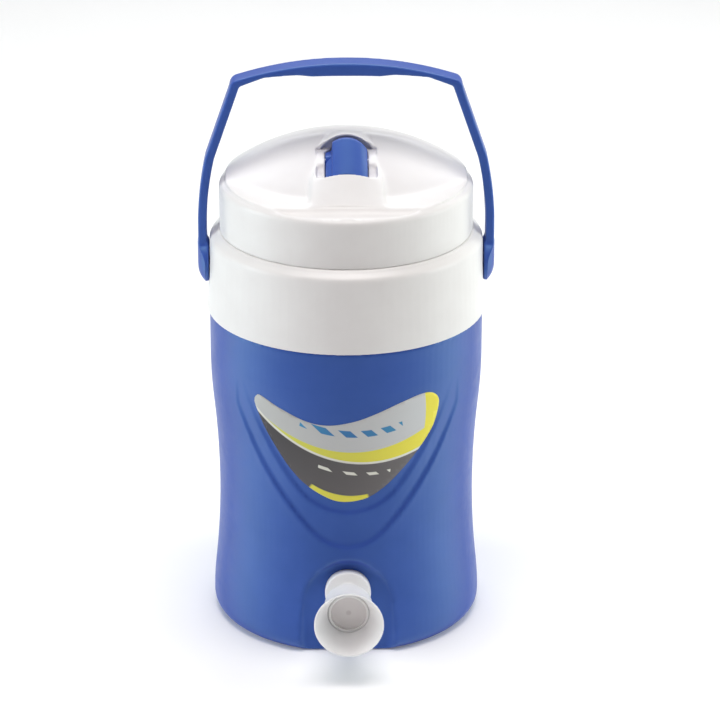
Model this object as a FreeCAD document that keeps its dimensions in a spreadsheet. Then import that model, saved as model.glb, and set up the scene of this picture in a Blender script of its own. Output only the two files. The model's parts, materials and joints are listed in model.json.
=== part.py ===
import FreeCAD, Part
import math
import os
import Sketcher

# An insulated four litre drinks jug: a blue outer shell, a foam-filled wall, a white liner and collar,
# a screw lid with a flip-up pourer, a bail handle and a push-button tap.
#
# Frame: millimetres, origin at the centre of the base, +Z up, the tap on the -Y side.
# A height is measured from the base, a depth is measured forwards (towards -Y) from the jug's axis.

SIZES = (
    ("liner_radius", 73.0, "liner: inside radius"),
    ("liner_wall", 2.0, "liner: wall thickness"),
    ("liner_floor", 17.0, "liner: height of the inside floor"),
    ("liner_round", 10.0, "liner: rounding at the floor"),
    ("rim_thickness", 2.0, "liner: flange over the neck"),
    ("neck_wall", 2.3, "collar: wall of the neck"),
    ("neck_height", 15.4, "collar: height of the neck over the ledge"),
    ("neck_tail", 15.6, "collar: length of the neck below the ledge"),
    ("ledge_margin", 0.7, "collar: width of the ledge outside the lid"),
    ("shoulder_width", 5.9, "collar: width of the shoulder"),
    ("shoulder_rise", 6.6, "collar: rise of the shoulder to the ledge"),
    ("collar_round", 4.2, "collar: rounding into the shoulder"),
    ("collar_height", 47.0, "collar: height of its outside, up to the shoulder"),
    ("collar_taper", 1.9, "collar: how much wider it is at its lower edge"),
    ("collar_wall", 3.0, "collar: wall thickness"),
    ("collar_lip", 1.5, "collar: how far its lower edge stands out from the shell"),
    ("shell_wall", 3.4, "outer shell: wall thickness"),
    ("foot_round", 9.0, "outer shell: rounding of the bottom edge"),
    ("foot_draw", 0.3, "outer shell: how much narrower the foot is than the top"),
    ("foot_height", 28.0, "outer shell: height where the foot's bulge ends"),
    ("foot_bulge", 1.0, "outer shell: depth of the foot's bulge"),
    ("waist_rise", 60.0, "outer shell: height of the waist over the foot's bulge"),
    ("waist_draw", 4.9, "outer shell: how much narrower the waist is than the top"),
    ("chest_rise", 62.0, "outer shell: height of the upper bulge over the waist"),
    ("chest_draw", 1.6, "outer shell: depth of the upper bulge"),
    ("bulge_height", 30.0, "outer shell: height of the upper bulge"),
    ("straight_height", 32.0, "outer shell: straight part under the collar"),
    ("spigot_height", 9.0, "outer shell: rim that stands up inside the collar"),
    ("spigot_wall", 2.2, "outer shell: thickness of that rim"),
    ("base_pad_radius", 30.0, "base: centre pad"),
    ("base_ring_width", 11.2, "base: width of the standing ring"),
    ("base_relief", 1.2, "base: depth between pad and ring"),
    ("plug_radius", 8.0, "base: filling hole for the foam"),
    ("plug_margin", 7.0, "base: distance of the filling hole from the pad"),
    ("pivot_rise", 31.5, "handle: height of the pivots over the collar's lower edge"),
    ("seat_inset", 0.2, "collar: depth of the flats under the bosses at the collar's top"),
    ("seat_margin", 2.0, "collar: room round the boss on its flat"),
    ("stud_radius", 6.0, "collar: pivot stud radius"),
    ("boss_radius", 14.5, "handle: radius of the end boss"),
    ("boss_thickness", 7.45, "handle: thickness of the end boss"),
    ("boss_cap", 2.5, "handle: wall of the boss over the stud"),
    ("arm_inset", 0.5, "handle: step from the boss's face to the arm's"),
    ("arm_thickness", 5.6, "handle: thickness of the arms"),
    ("strap_width", 16.0, "handle: width of arms and grip"),
    ("arm_rise", 24.5, "handle: straight length of the arms over the pivots"),
    ("bend_rise", 46.0, "handle: height of the bend"),
    ("bend_reach", 5.2, "handle: how far the bend moves the arms in"),
    ("lean_rise", 46.0, "handle: height of the leaning part"),
    ("lean_reach", 16.0, "handle: how far it leans in"),
    ("elbow_rise", 6.2, "handle: height of the elbow"),
    ("elbow_reach", 5.4, "handle: how far the elbow moves in"),
    ("elbow_round", 6.4, "handle: outside rounding of the elbow"),
    ("grip_rise", 10.5, "handle: rise of the grip from elbow to middle"),
    ("grip_thickness", 6.7, "handle: thickness of the grip at the middle"),
    ("palm_half", 52.0, "handle: half width of the palm under the grip"),
    ("palm_rise", 2.6, "handle: rise of the palm from its ends to its middle"),
    ("skirt_wall", 2.15, "lid: wall of the skirt"),
    ("brim_rise", 10.4, "lid: height of the rim over the plug's flange"),
    ("rim_round", 3.8, "lid: rounding of the rim"),
    ("dome_inset", 3.9, "lid: distance of the dome's foot from the skirt's outside"),
    ("dome_sphere", 134.0, "lid: radius of curvature of the dome"),
    ("dome_rise", 27.5, "lid: height of the dome's middle over the shelf"),
    ("lid_wall", 2.5, "lid: wall of the top"),
    ("shelf_step", 1.5, "lid: height of the front shelf over the rim"),
    ("shelf_sweep", 92.0, "lid: radius of the shelf's back edge"),
    ("shelf_offset", 45.0, "lid: how far behind the axis that edge is centred"),
    ("shelf_rise", 45.0, "lid: height over the shelf of the slope's apex behind it"),
    ("cove_radius", 11.0, "lid: radius of the hollow at the front"),
    ("cove_inset", 11.5, "lid: distance of the hollow's axis behind the skirt"),
    ("cove_rise", 6.0, "lid: height of the hollow's axis over the shelf"),
    ("cove_margin", 4.0, "lid: width of the rim left round the hollow"),
    ("hump_width", 47.0, "lid: width of the hump"),
    ("hump_inset", 22.0, "lid: distance of the hump's front edge behind the skirt"),
    ("hump_front_rise", 1.2, "lid: height of the hump's front edge over the shelf"),
    ("hump_front_arch", 0.9, "lid: arch of the hump at its front edge"),
    ("brow_rise", 14.0, "lid: height over the shelf of the edge in front of the pourer"),
    ("brow_arch", 6.5, "lid: arch of that edge"),
    ("hood_back", 7.6, "lid: distance of the hood's face behind the pourer's pin"),
    ("hood_cover", 3.0, "lid: height of the hood over the pourer's back"),
    ("hood_arch", 17.0, "lid: arch of the hood"),
    ("hood_width", 39.0, "lid: width of the hood"),
    ("hump_back", 45.0, "lid: distance behind the axis where the hump ends"),
    ("hump_back_rise", 17.0, "lid: height of the hump's end over the shelf"),
    ("hump_back_arch", 4.5, "lid: arch of the hump's end"),
    ("cheek_drop", 2.5, "lid: depth of the cheeks under the pin's height, at the brow"),
    ("cheek_climb", 4.5, "lid: height of the cheeks over the pin's, at the hood"),
    ("mouth_margin", 2.95, "lid: room beside the well in the hood's mouth"),
    ("mouth_headroom", 1.2, "lid: room over the pourer's back in the hood's mouth"),
    ("mouth_depth", 3.0, "lid: depth of the hood's mouth"),
    ("scoop_radius", 10.0, "lid: radius of the finger scoops"),
    ("scoop_forward", 17.5, "lid: distance of the finger scoops in front of the pin"),
    ("scoop_lift", 5.0, "lid: height of the scoops' axis over the pin's"),
    ("scoop_reach", 5.75, "lid: length of a scoop beside the well"),
    ("thread_lead", 24.0, "lid thread: rise in one turn"),
    ("lug_count", 4.0, "lid thread: number of starts"),
    ("lug_length", 40.0, "lid thread: length of a lug"),
    ("lug_height", 2.5, "lid thread: height of a lug"),
    ("lug_depth", 1.5, "lid thread: how far a lug stands out"),
    ("lug_drop", 5.0, "collar: depth of the lugs' middle under the neck's top"),
    ("lug_gap", 0.4, "lid thread: room between mated lugs"),
    ("plug_depth", 17.6, "lid: depth of the plug under its flange"),
    ("plug_play", 0.8, "lid: room between plug and liner"),
    ("cup_wall", 2.0, "lid: wall of the plug"),
    ("seal_thickness", 2.4, "lid: thickness of the seal"),
    ("pourer_depth", 9.5, "pourer: distance of its pin in front of the axis"),
    ("pin_rise", 13.5, "pourer: height of its pin over the shelf"),
    ("pourer_ball", 15.0, "pourer: radius of its rounded back"),
    ("pourer_width", 26.8, "pourer: width"),
    ("pourer_reach", 25.6, "pourer: distance from pin to front edge"),
    ("pourer_belly", 8.7, "pourer: depth of its underside below the pin"),
    ("pin_radius", 1.5, "pourer: pin radius"),
    ("well_depth", 11.8, "lid: depth below the pin of the floor under the pourer"),
    ("tube_radius", 5.6, "pouring tube: outside radius"),
    ("tube_wall", 1.1, "pouring tube: wall"),
    ("tube_rim", 3.9, "pouring tube: width of its flange"),
    ("tube_lip", 0.7, "pouring tube: how far its lip stands above the floor"),
    ("stopper_margin", 2.5, "stopper: distance from the pourer's front edge"),
    ("stopper_stem", 2.0, "stopper: stem radius"),
    ("stopper_stem_length", 4.0, "stopper: stem length"),
    ("flat_gap", 0.6, "tap recess: room between the flat and the liner"),
    ("recess_half", 27.5, "tap recess: half width of the flat"),
    ("recess_drop", 9.5, "tap recess: depth of the arch's centre under the tap's axis"),
    ("recess_bevel", 6.0, "tap recess: width of the bevel"),
    ("bevel_depth", 5.0, "tap recess: depth of the bevel"),
    ("tap_height", 44.0, "tap: height of its axis"),
    ("stem_radius", 10.5, "tap: radius of the threaded stem"),
    ("stem_tail", 2.5, "tap: length of the stem past the nut"),
    ("inlet_radius", 7.4, "tap: bore of the stem"),
    ("seat_depth", 1.0, "tap: depth of the valve seat behind the recess's flat"),
    ("seat_thickness", 2.0, "tap: thickness of the valve seat"),
    ("seat_radius", 4.2, "tap: hole in the valve seat"),
    ("flange_radius", 14.85, "tap: radius of the flange"),
    ("flange_thickness", 5.0, "tap: thickness of the flange"),
    ("gasket_thickness", 1.5, "tap: thickness of the outer gasket"),
    ("barrel_radius", 8.0, "tap: radius of the barrel behind the bell"),
    ("barrel_length", 7.5, "tap: length of the barrel behind the bell"),
    ("chamber_radius", 6.0, "tap: radius of the spout chamber"),
    ("chamber_reach", 4.0, "tap: how far the chamber reaches into the bell"),
    ("rod_guide", 4.0, "tap: length of the rod's guide between chamber and button"),
    ("bell_heel", 1.0, "tap: distance in which the bell's back reaches its width"),
    ("bell_back_wall", 2.1, "tap: wall of the bell's back"),
    ("bell_length", 29.5, "tap: depth of the bell"),
    ("bell_radius", 22.4, "tap: radius of the bell's rim"),
    ("bell_wall", 1.2, "tap: wall of the bell's rim"),
    ("bell_curve", 60.0, "tap: radius of the bell's outside curve"),
    ("spout_radius", 6.8, "tap: outside radius of the spout"),
    ("spout_bore", 4.2, "tap: bore of the spout"),
    ("spout_length", 24.0, "tap: length of the spout below the axis"),
    ("spout_margin", 0.3, "tap: distance of the spout from the flange"),
    ("pad_height", 3.5, "liner: how far the tap's pad stands in"),
    ("pad_margin", 2.0, "liner: width of the pad outside the gasket"),
    ("hole_play", 0.3, "tap: room between the stem and its holes"),
    ("inner_gasket_thickness", 2.0, "tap: thickness of the inner gasket"),
    ("inner_gasket_radius", 16.0, "tap: outside radius of the inner gasket"),
    ("nut_width", 28.0, "tap: nut, across flats"),
    ("nut_thickness", 8.0, "tap: nut thickness"),
    ("button_bore", 13.3, "tap: radius of the button's chamber"),
    ("button_play", 0.25, "button: room in its chamber"),
    ("button_dish", 1.7, "button: depth of the dished front"),
    ("button_edge", 1.7, "button: width of the front edge"),
    ("button_web", 2.1, "button: thickness of the front"),
    ("button_skirt", 7.5, "button: length of the skirt"),
    ("button_stroke", 5.0, "button: travel"),
    ("button_rest", 0.5, "button: room left at the end of its travel"),
    ("rod_radius", 2.5, "button: radius of the valve rod"),
    ("rod_tip_radius", 2.0, "button: radius of the rod's tip"),
    ("rod_tail", 1.3, "button: length of the rod past the clip washer"),
    ("valve_radius", 5.6, "valve: radius of the rubber disc"),
    ("valve_thickness", 2.9, "valve: thickness of the rubber disc"),
    ("washer_radius", 4.2, "valve: radius of the clip washer"),
    ("washer_thickness", 1.2, "valve: thickness of the clip washer"),
    ("ring_wire", 1.05, "tap: radius of the rod seal's section"),
    ("ring_pocket", 2.4, "tap: depth of the rod seal's pocket"),
    ("spring_radius", 6.4, "spring: mean radius"),
    ("spring_wire", 0.45, "spring: wire radius"),
    ("spring_turns", 3.5, "spring: number of turns"),
    ("panel_depth", 1.1, "relief: depth of the outer panel at the waist"),
    ("panel_chest_depth", 0.95, "relief: depth of the outer panel at the chest"),
    ("panel_run_out", 12.0, "relief: height over the upper bulge at which both panels run out"),
    ("panel_root", 10.0, "relief: how far both panels are cut below the chevron's tip"),
    ("inlay_depth", 2.0, "relief: depth of the inner panel at the waist"),
    ("inlay_chest_depth", 1.7, "relief: depth of the inner panel at the chest"),
    ("chevron_tip", 76.0, "relief: height of the chevron's tip"),
    ("chevron_tip_half", 23.2, "relief: half width of the rounded tip"),
    ("chevron_tip_rise", 10.0, "relief: height of the rounded tip"),
    ("chevron_half", 70.7, "relief: half width of the chevron at its knee"),
    ("chevron_rise", 91.0, "relief: height of the knee over the tip"),
    ("chevron_curve", 204.0, "relief: radius of curvature of the chevron's sides"),
    ("inlay_lift", 24.0, "relief: height of the inner panel's tip over the chevron's"),
    ("inlay_tip_half", 29.5, "relief: half width of the inner panel's tip"),
    ("inlay_tip_rise", 12.0, "relief: height of the inner panel's tip"),
    ("inlay_half", 67.0, "relief: half width of the inner panel at its knee"),
    ("inlay_rise", 83.0, "relief: height of the inner panel's knee over its tip"),
    ("label_thickness", 0.3, "label: thickness"),
    ("label_margin", 9.5, "label: distance of the wings from the inner panel's knee"),
    ("label_wing_top", 77.0, "label: height of the wing tips over the inner panel's tip"),
    ("label_wing_low", 68.0, "label: height of the wings' lower corners"),
    ("label_tip_round", 5.2, "label: rounding of the wing tips"),
    ("label_flank_curve", 150.0, "label: radius of curvature of the flanks"),
    ("label_top", 64.5, "label: height of the top edge at the middle"),
    ("label_flank", 27.0, "label: height of the flanks"),
    ("label_flank_spread", 7.0, "label: how much wider the flanks are than the inner panel's tip"),
    ("label_low", 9.0, "label: height of the lowest point"),
    ("touch_gap", 0.1, "room between faces that close against each other"),
    ("fit_gap", 0.2, "room between pieces that are glued or pressed together"),
    ("move_gap", 0.35, "room beside a piece that moves"),
    ("running_gap", 0.06, "radial room of a turning or sliding fit"),
)

DOC = FreeCAD.newDocument("jug")
NODES = []


# ---------------------------------------------------------------- sizes


class Size:
    """A number that knows the sheet expression it comes from."""

    def __init__(self, value, text):
        self.value = float(value)
        self.text = text

    def __add__(self, other):
        return combined(self, "+", other, self.value + number(other))

    def __radd__(self, other):
        return combined(other, "+", self, number(other) + self.value)

    def __sub__(self, other):
        return combined(self, "-", other, self.value - number(other))

    def __rsub__(self, other):
        return combined(other, "-", self, number(other) - self.value)

    def __mul__(self, other):
        return combined(self, "*", other, self.value * number(other))

    def __rmul__(self, other):
        return combined(other, "*", self, number(other) * self.value)

    def __truediv__(self, other):
        return combined(self, "/", other, self.value / number(other))

    def __neg__(self):
        return Size(-self.value, "(-" + self.text + ")")


def number(thing):
    return thing.value if isinstance(thing, Size) else float(thing)


def written(thing):
    return thing.text if isinstance(thing, Size) else repr(float(thing))


def combined(first, sign, second, value):
    return Size(value, "(" + written(first) + " " + sign + " " + written(second) + ")")


def root(size):
    return Size(math.sqrt(size.value), "sqrt(" + size.text + ")")


def other_leg(hypotenuse, leg):
    """The other short side of a right-angled triangle."""
    return root(hypotenuse * hypotenuse - leg * leg)


def arc_radius(along, across):
    """Radius of an arc that leaves a line at a tangent and is `across` off it after `along`."""
    return (along * along + across * across) / (2 * across)


class Sheet:
    """The driving sizes, read as attributes."""

    def __init__(self):
        self.sheet = DOC.addObject("Spreadsheet::Sheet", "Sizes")
        for row, (name, value, note) in enumerate(SIZES, start=1):
            self.sheet.set("A%d" % row, name)
            self.sheet.set("B%d" % row, str(value))
            self.sheet.setAlias("B%d" % row, name)
            self.sheet.set("C%d" % row, note)
        DOC.recompute()
        for name, value, note in SIZES:
            setattr(self, name, Size(self.sheet.get(name), "Sizes." + name))


S = Sheet()

# Sizes that follow from the driving ones, from the inside outwards and from the base upwards.
LINER_OUTER = S.liner_radius + S.liner_wall
LINER_BOTTOM = S.liner_floor - S.liner_wall
NECK_BORE = LINER_OUTER + S.fit_gap
NECK_RADIUS = NECK_BORE + S.neck_wall
SKIRT_BORE = NECK_RADIUS + S.lug_depth + S.move_gap
SKIRT_RADIUS = SKIRT_BORE + S.skirt_wall
LEDGE_RADIUS = SKIRT_RADIUS + S.ledge_margin
COLLAR_TOP_RADIUS = LEDGE_RADIUS + S.shoulder_width
COLLAR_RADIUS = COLLAR_TOP_RADIUS + S.collar_taper
COLLAR_BORE = COLLAR_RADIUS - S.collar_wall
TOP_RADIUS = COLLAR_RADIUS - S.collar_lip
SPIGOT_RADIUS = COLLAR_BORE - S.fit_gap
SHELL_BORE = SPIGOT_RADIUS - S.spigot_wall
FOOT_RADIUS = TOP_RADIUS - S.foot_draw
FOOT_END_RADIUS = FOOT_RADIUS - S.foot_bulge
WAIST_RADIUS = TOP_RADIUS - S.waist_draw
CHEST_RADIUS = TOP_RADIUS - S.chest_draw
PANEL_TOP_RADIUS = TOP_RADIUS + S.touch_gap
BASE_RING_RADIUS = FOOT_RADIUS - S.foot_round - S.base_ring_width
PLUG_OFFSET = S.base_pad_radius + S.plug_radius + S.plug_margin

WAIST = S.foot_height + S.waist_rise
CHEST = WAIST + S.chest_rise
SHOULDER = CHEST + S.bulge_height
SHELL_TOP = SHOULDER + S.straight_height
SPIGOT_TOP = SHELL_TOP + S.spigot_height
COLLAR_TOP = SHELL_TOP + S.collar_height
LEDGE = COLLAR_TOP + S.shoulder_rise
NECK_TOP = LEDGE + S.neck_height
NECK_BOTTOM = LEDGE - S.neck_tail
RIM_TOP = NECK_TOP + S.rim_thickness
LUG_MIDDLE = NECK_TOP - S.lug_drop
PANEL_START = S.chevron_tip - S.panel_root
PANEL_END = SHOULDER + S.panel_run_out
CHEVRON_KNEE = S.chevron_tip + S.chevron_rise
INLAY_TIP = S.chevron_tip + S.inlay_lift
INLAY_KNEE = INLAY_TIP + S.inlay_rise

PIVOT_HEIGHT = SHELL_TOP + S.pivot_rise
BOSS_SEAT = COLLAR_TOP_RADIUS - S.seat_inset
BOSS_INNER = BOSS_SEAT + S.move_gap
BOSS_OUTER = BOSS_INNER + S.boss_thickness
STUD_END = BOSS_OUTER - S.boss_cap
ARM_OUTER = BOSS_OUTER - S.arm_inset
BEND_START = PIVOT_HEIGHT + S.arm_rise
BEND_END = BEND_START + S.bend_rise
BEND_OUTER = ARM_OUTER - S.bend_reach
ELBOW_HEIGHT = BEND_END + S.lean_rise
ELBOW_OUTER = BEND_OUTER - S.lean_reach
GRIP_END = ELBOW_OUTER - S.elbow_reach
GRIP_END_HEIGHT = ELBOW_HEIGHT + S.elbow_rise
GRIP_TOP = GRIP_END_HEIGHT + S.grip_rise

SKIRT_BOTTOM = LEDGE + S.move_gap
SEAL_BOTTOM = RIM_TOP + S.touch_gap
CUP_FLANGE = SEAL_BOTTOM + S.seal_thickness + S.touch_gap
CUP_FLANGE_TOP = CUP_FLANGE + S.cup_wall
CUP_RADIUS = S.liner_radius - S.plug_play
PLUG_FLOOR = CUP_FLANGE - S.plug_depth
RIM_HEIGHT = CUP_FLANGE_TOP + S.brim_rise
SHELF = RIM_HEIGHT + S.shelf_step
CROWN = SHELF + S.dome_rise
DOME_RADIUS = SKIRT_RADIUS - S.dome_inset
COVE_DEPTH = SKIRT_RADIUS - S.cove_inset
COVE_HEIGHT = SHELF + S.cove_rise
COVE_RIM = SKIRT_RADIUS - S.cove_margin

PIN_HEIGHT = SHELF + S.pin_rise
WELL_WIDTH = S.pourer_width + 2 * S.move_gap
WELL_FLOOR = PIN_HEIGHT - S.well_depth
PIN_LENGTH = WELL_WIDTH + 2 * (S.lid_wall - S.fit_gap)
POURER_FLOOR = PIN_HEIGHT - S.pourer_belly
HUMP_FRONT = SKIRT_RADIUS - S.hump_inset
HUMP_FRONT_HEIGHT = SHELF + S.hump_front_rise
BROW = S.pourer_depth + S.pourer_reach + 2 * S.move_gap
BROW_HEIGHT = SHELF + S.brow_rise
HOOD_FACE = S.hood_back - S.pourer_depth
HOOD_HEIGHT = PIN_HEIGHT + S.pourer_ball + S.hood_cover
HUMP_BACK_HEIGHT = SHELF + S.hump_back_rise
CHEEK_FRONT = PIN_HEIGHT - S.cheek_drop
CHEEK_BACK = PIN_HEIGHT + S.cheek_climb
MOUTH_WIDTH = WELL_WIDTH + 2 * S.mouth_margin
MOUTH_HEIGHT = other_leg(S.pourer_ball, S.hood_back) + S.mouth_headroom - S.cheek_climb
SCOOP_DEPTH = S.pourer_depth + S.scoop_forward
SCOOP_HEIGHT = PIN_HEIGHT + S.scoop_lift
SCOOP_WIDTH = WELL_WIDTH + 2 * S.scoop_reach
STOPPER_RADIUS = S.tube_radius + S.fit_gap
TUBE_DEPTH = S.pourer_depth + S.pourer_reach - STOPPER_RADIUS - S.stopper_margin
TUBE_BORE = S.tube_radius - S.tube_wall
TUBE_FLANGE = S.tube_radius + S.tube_rim

FACET = LINER_OUTER + S.flat_gap + S.shell_wall
RECESS_LIP = FACET + S.bevel_depth
ARCH_CENTRE = S.tap_height - S.recess_drop
BOSS_PAD = S.liner_radius - S.pad_height
BOSS_PAD_RADIUS = S.inner_gasket_radius + S.pad_margin
NUT_FACE = BOSS_PAD - S.inner_gasket_thickness
STEM_END = NUT_FACE - S.nut_thickness - S.stem_tail
SEAT = FACET - S.seat_depth
CHAMBER_START = SEAT + S.seat_thickness
FLANGE_BACK = FACET + S.gasket_thickness
FLANGE_FRONT = FLANGE_BACK + S.flange_thickness
BARREL_END = FLANGE_FRONT + S.barrel_length
CHAMBER_END = BARREL_END + S.chamber_reach
BUTTON_FLOOR = CHAMBER_END + S.rod_guide
BELL_BACK = BUTTON_FLOOR + S.bell_heel
BELL_BACK_RADIUS = S.button_bore + S.bell_back_wall
BELL_FRONT = BUTTON_FLOOR + S.bell_length
SPOUT_DEPTH = FLANGE_FRONT + S.spout_radius + S.spout_margin
SPOUT_END = S.tap_height - S.spout_length
BUTTON_FRONT = BUTTON_FLOOR + S.button_skirt + S.button_stroke + S.button_rest
BUTTON_DISH = BUTTON_FRONT - S.button_dish
BUTTON_BACK = BUTTON_DISH - S.button_web
VALVE_FACE = SEAT - S.touch_gap
VALVE_BACK = VALVE_FACE - S.valve_thickness
ROD_TIP = VALVE_BACK - S.washer_thickness - S.rod_tail


# ---------------------------------------------------------------- building blocks


def bind(thing, prop, size):
    """Set a property from a size and tie it to the sheet."""
    thing.setExpression(prop, written(size))


def place(thing, at, rotation=FreeCAD.Rotation()):
    """Put an object at a point whose coordinates are sizes or plain numbers."""
    thing.Placement = FreeCAD.Placement(FreeCAD.Vector(*[number(c) for c in at]), rotation)
    for axis, coordinate in zip("xyz", at):
        if isinstance(coordinate, Size):
            bind(thing, "Placement.Base." + axis, coordinate)


TOWARDS = {
    "x": FreeCAD.Rotation(FreeCAD.Vector(0, 1, 0), 90),
    "y": FreeCAD.Rotation(FreeCAD.Vector(1, 0, 0), -90),
    "z": FreeCAD.Rotation(),
}


def rod(label, radius, length, at, along="z"):
    """A cylinder that starts at a point and runs along an axis of the frame."""
    thing = DOC.addObject("Part::Cylinder", label)
    bind(thing, "Radius", radius)
    bind(thing, "Height", length)
    place(thing, at, TOWARDS[along])
    return thing


def cone(label, low_radius, high_radius, height, at):
    thing = DOC.addObject("Part::Cone", label)
    bind(thing, "Radius1", low_radius)
    bind(thing, "Radius2", high_radius)
    bind(thing, "Height", height)
    place(thing, at)
    return thing


def ball(label, radius, at):
    thing = DOC.addObject("Part::Sphere", label)
    bind(thing, "Radius", radius)
    place(thing, at)
    return thing


def block(label, low, high):
    """A box given by its lowest and highest corners."""
    thing = DOC.addObject("Part::Box", label)
    for prop, start, end in zip(("Length", "Width", "Height"), low, high):
        bind(thing, prop, end - start)
    place(thing, low)
    return thing


def fused(label, *parts):
    thing = DOC.addObject("Part::MultiFuse", label)
    thing.Shapes = list(parts)
    return thing


def shared(label, *parts):
    """What all the parts have in common."""
    thing = DOC.addObject("Part::MultiCommon", label)
    thing.Shapes = list(parts)
    return thing


def cut(label, base, *tools):
    """The base without any of the tools."""
    thing = DOC.addObject("Part::Cut", label)
    thing.Base = base
    thing.Tool = tools[0] if len(tools) == 1 else fused(label + "_tools", *tools)
    return thing


def node(name, thing):
    """Declare a finished sub-part; its label names its file."""
    thing.Label = name
    NODES.append(thing)
    return thing


class Outline:
    """A closed outline of straight lines and arcs, with every corner tied to the sheet."""

    def __init__(self, across, up):
        self.corners = [(across, up)]
        self.bends = []

    def line(self, across, up):
        self.corners.append((across, up))
        self.bends.append(None)
        return self

    def arc(self, across, up, radius, centre):
        """An arc to a corner; its centre is on the `left` or the `right` of the way there."""
        self.corners.append((across, up))
        self.bends.append((radius, centre))
        return self

    def close(self, bend=None):
        """The last edge, back to the first corner: a line, or an arc's radius and centre side."""
        self.bends.append(bend)
        return self

    def draw(self, sketch):
        ends = []
        total = len(self.corners)
        for index in range(total):
            start = self.point(index)
            end = self.point((index + 1) % total)
            ends.append(draw_edge(sketch, start, end, self.bends[index]))
        for index in range(total):
            geometry, first, last = ends[index]
            following, joint = ends[(index + 1) % total][:2]
            sketch.addConstraint(Sketcher.Constraint("Coincident", geometry, last, following, joint))
            tie(sketch, "DistanceX", geometry, first, self.corners[index][0])
            tie(sketch, "DistanceY", geometry, first, self.corners[index][1])

    def point(self, index):
        across, up = self.corners[index]
        return FreeCAD.Vector(number(across), number(up), 0)


def tie(sketch, kind, geometry, end, size):
    """Fix how far a point is from the sketch's origin."""
    index = sketch.addConstraint(Sketcher.Constraint(kind, -1, 1, geometry, end, number(size)))
    sketch.setExpression("Constraints[%d]" % index, written(size))


def draw_edge(sketch, start, end, bend):
    """Add one edge; returns its number and which of its ends are the start and the end."""
    if bend is None:
        return sketch.addGeometry(Part.LineSegment(start, end), False), 1, 2
    radius, centre_side = bend
    chord = end - start
    left = FreeCAD.Vector(-chord.y, chord.x, 0).normalize()
    rise = math.sqrt(number(radius) ** 2 - (chord.Length / 2) ** 2)
    turns_left = centre_side == "left"
    centre = (start + end) * 0.5 + left * (rise if turns_left else -rise)
    first, last = (start, end) if turns_left else (end, start)
    angles = [math.atan2(p.y - centre.y, p.x - centre.x) for p in (first, last)]
    circle = Part.Circle(centre, FreeCAD.Vector(0, 0, 1), number(radius))
    geometry = sketch.addGeometry(Part.ArcOfCircle(circle, angles[0], angles[1]), False)
    index = sketch.addConstraint(Sketcher.Constraint("Radius", geometry, number(radius)))
    sketch.setExpression("Constraints[%d]" % index, written(radius))
    return (geometry, 1, 2) if turns_left else (geometry, 2, 1)


def sketch_in(body, plane, outline, name, offset=None):
    """A sketch on one of the body's own origin planes, moved along its normal by an offset."""
    support = [f for f in body.Origin.OriginFeatures if f.Role == plane][0]
    sketch = body.newObject("Sketcher::SketchObject", name)
    sketch.AttachmentSupport = [(support, "")]
    sketch.MapMode = "FlatFace"
    outline.draw(sketch)
    if offset is not None:
        bind(sketch, "AttachmentOffset.Base.z", offset)
    return sketch


def turned(label, outline, plane="XZ_Plane", at=None):
    """A solid turned about the vertical axis of its sketch."""
    body = DOC.addObject("PartDesign::Body", label)
    sketch = sketch_in(body, plane, outline, label + "_outline")
    revolution = body.newObject("PartDesign::Revolution", label + "_turned")
    revolution.Profile = sketch
    revolution.ReferenceAxis = (sketch, ["V_Axis"])
    revolution.Angle = 360
    if at is not None:
        place(body, at)
    return body


def padded(label, plane, outline, length, offset=None, both_ways=False):
    """A straight prism; both_ways spreads its length evenly to both sides of the sketch."""
    body = DOC.addObject("PartDesign::Body", label)
    sketch = sketch_in(body, plane, outline, label + "_outline", offset)
    pad = body.newObject("PartDesign::Pad", label + "_pad")
    pad.Profile = sketch
    bind(pad, "Length", length)
    if both_ways:
        pad.SideType = "Symmetric"
    return body


def lofted(label, plane, outlines):
    """A ruled loft through (outline, offset) sections."""
    body = DOC.addObject("PartDesign::Body", label)
    sketches = []
    for index, (outline, offset) in enumerate(outlines):
        sketches.append(sketch_in(body, plane, outline, "%s_section%d" % (label, index), offset))
    loft = body.newObject("PartDesign::AdditiveLoft", label + "_loft")
    loft.Profile = sketches[0]
    loft.Sections = sketches[1:]
    loft.Ruled = True
    return body


def tap_turned(label, outline):
    """A solid turned about the tap's axis; the outline gives radius across and -distance up."""
    return turned(label, outline, "XY_Plane", at=(0, 0, S.tap_height))


# ---------------------------------------------------------------- shell and foam


def waisted_side(outline, inset, top_radius):
    """The waisted side of the jug, from the foot's rounding up to the shoulder."""
    foot = (S.foot_height - S.foot_round, FOOT_RADIUS - FOOT_END_RADIUS)
    lower = (WAIST - S.foot_height, FOOT_END_RADIUS - WAIST_RADIUS)
    upper = (CHEST - WAIST, CHEST_RADIUS - WAIST_RADIUS)
    last = (SHOULDER - CHEST, top_radius - (CHEST_RADIUS - inset))
    outline.arc(FOOT_END_RADIUS - inset, S.foot_height, arc_radius(*foot), "left")
    outline.arc(WAIST_RADIUS - inset, WAIST, arc_radius(*lower), "right")
    outline.arc(CHEST_RADIUS - inset, CHEST, arc_radius(*upper), "right")
    outline.arc(top_radius, SHOULDER, arc_radius(*last), "left")


def shell_space(label, inset):
    """The room inside the shell's wall, drawn in by an inset for the foam that fills it."""
    wall = S.shell_wall + inset
    bore = SHELL_BORE - inset
    outline = Outline(0, wall)
    outline.line(FOOT_RADIUS - S.foot_round, wall)
    outline.arc(FOOT_RADIUS - wall, S.foot_round, S.foot_round - wall, "left")
    waisted_side(outline, wall, bore)
    outline.line(bore, SPIGOT_TOP + S.fit_gap)
    outline.line(0, SPIGOT_TOP + S.fit_gap)
    round_room = turned(label + "_round", outline.close())
    return cut(label, round_room, tap_recess(label + "_recess", wall))


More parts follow.
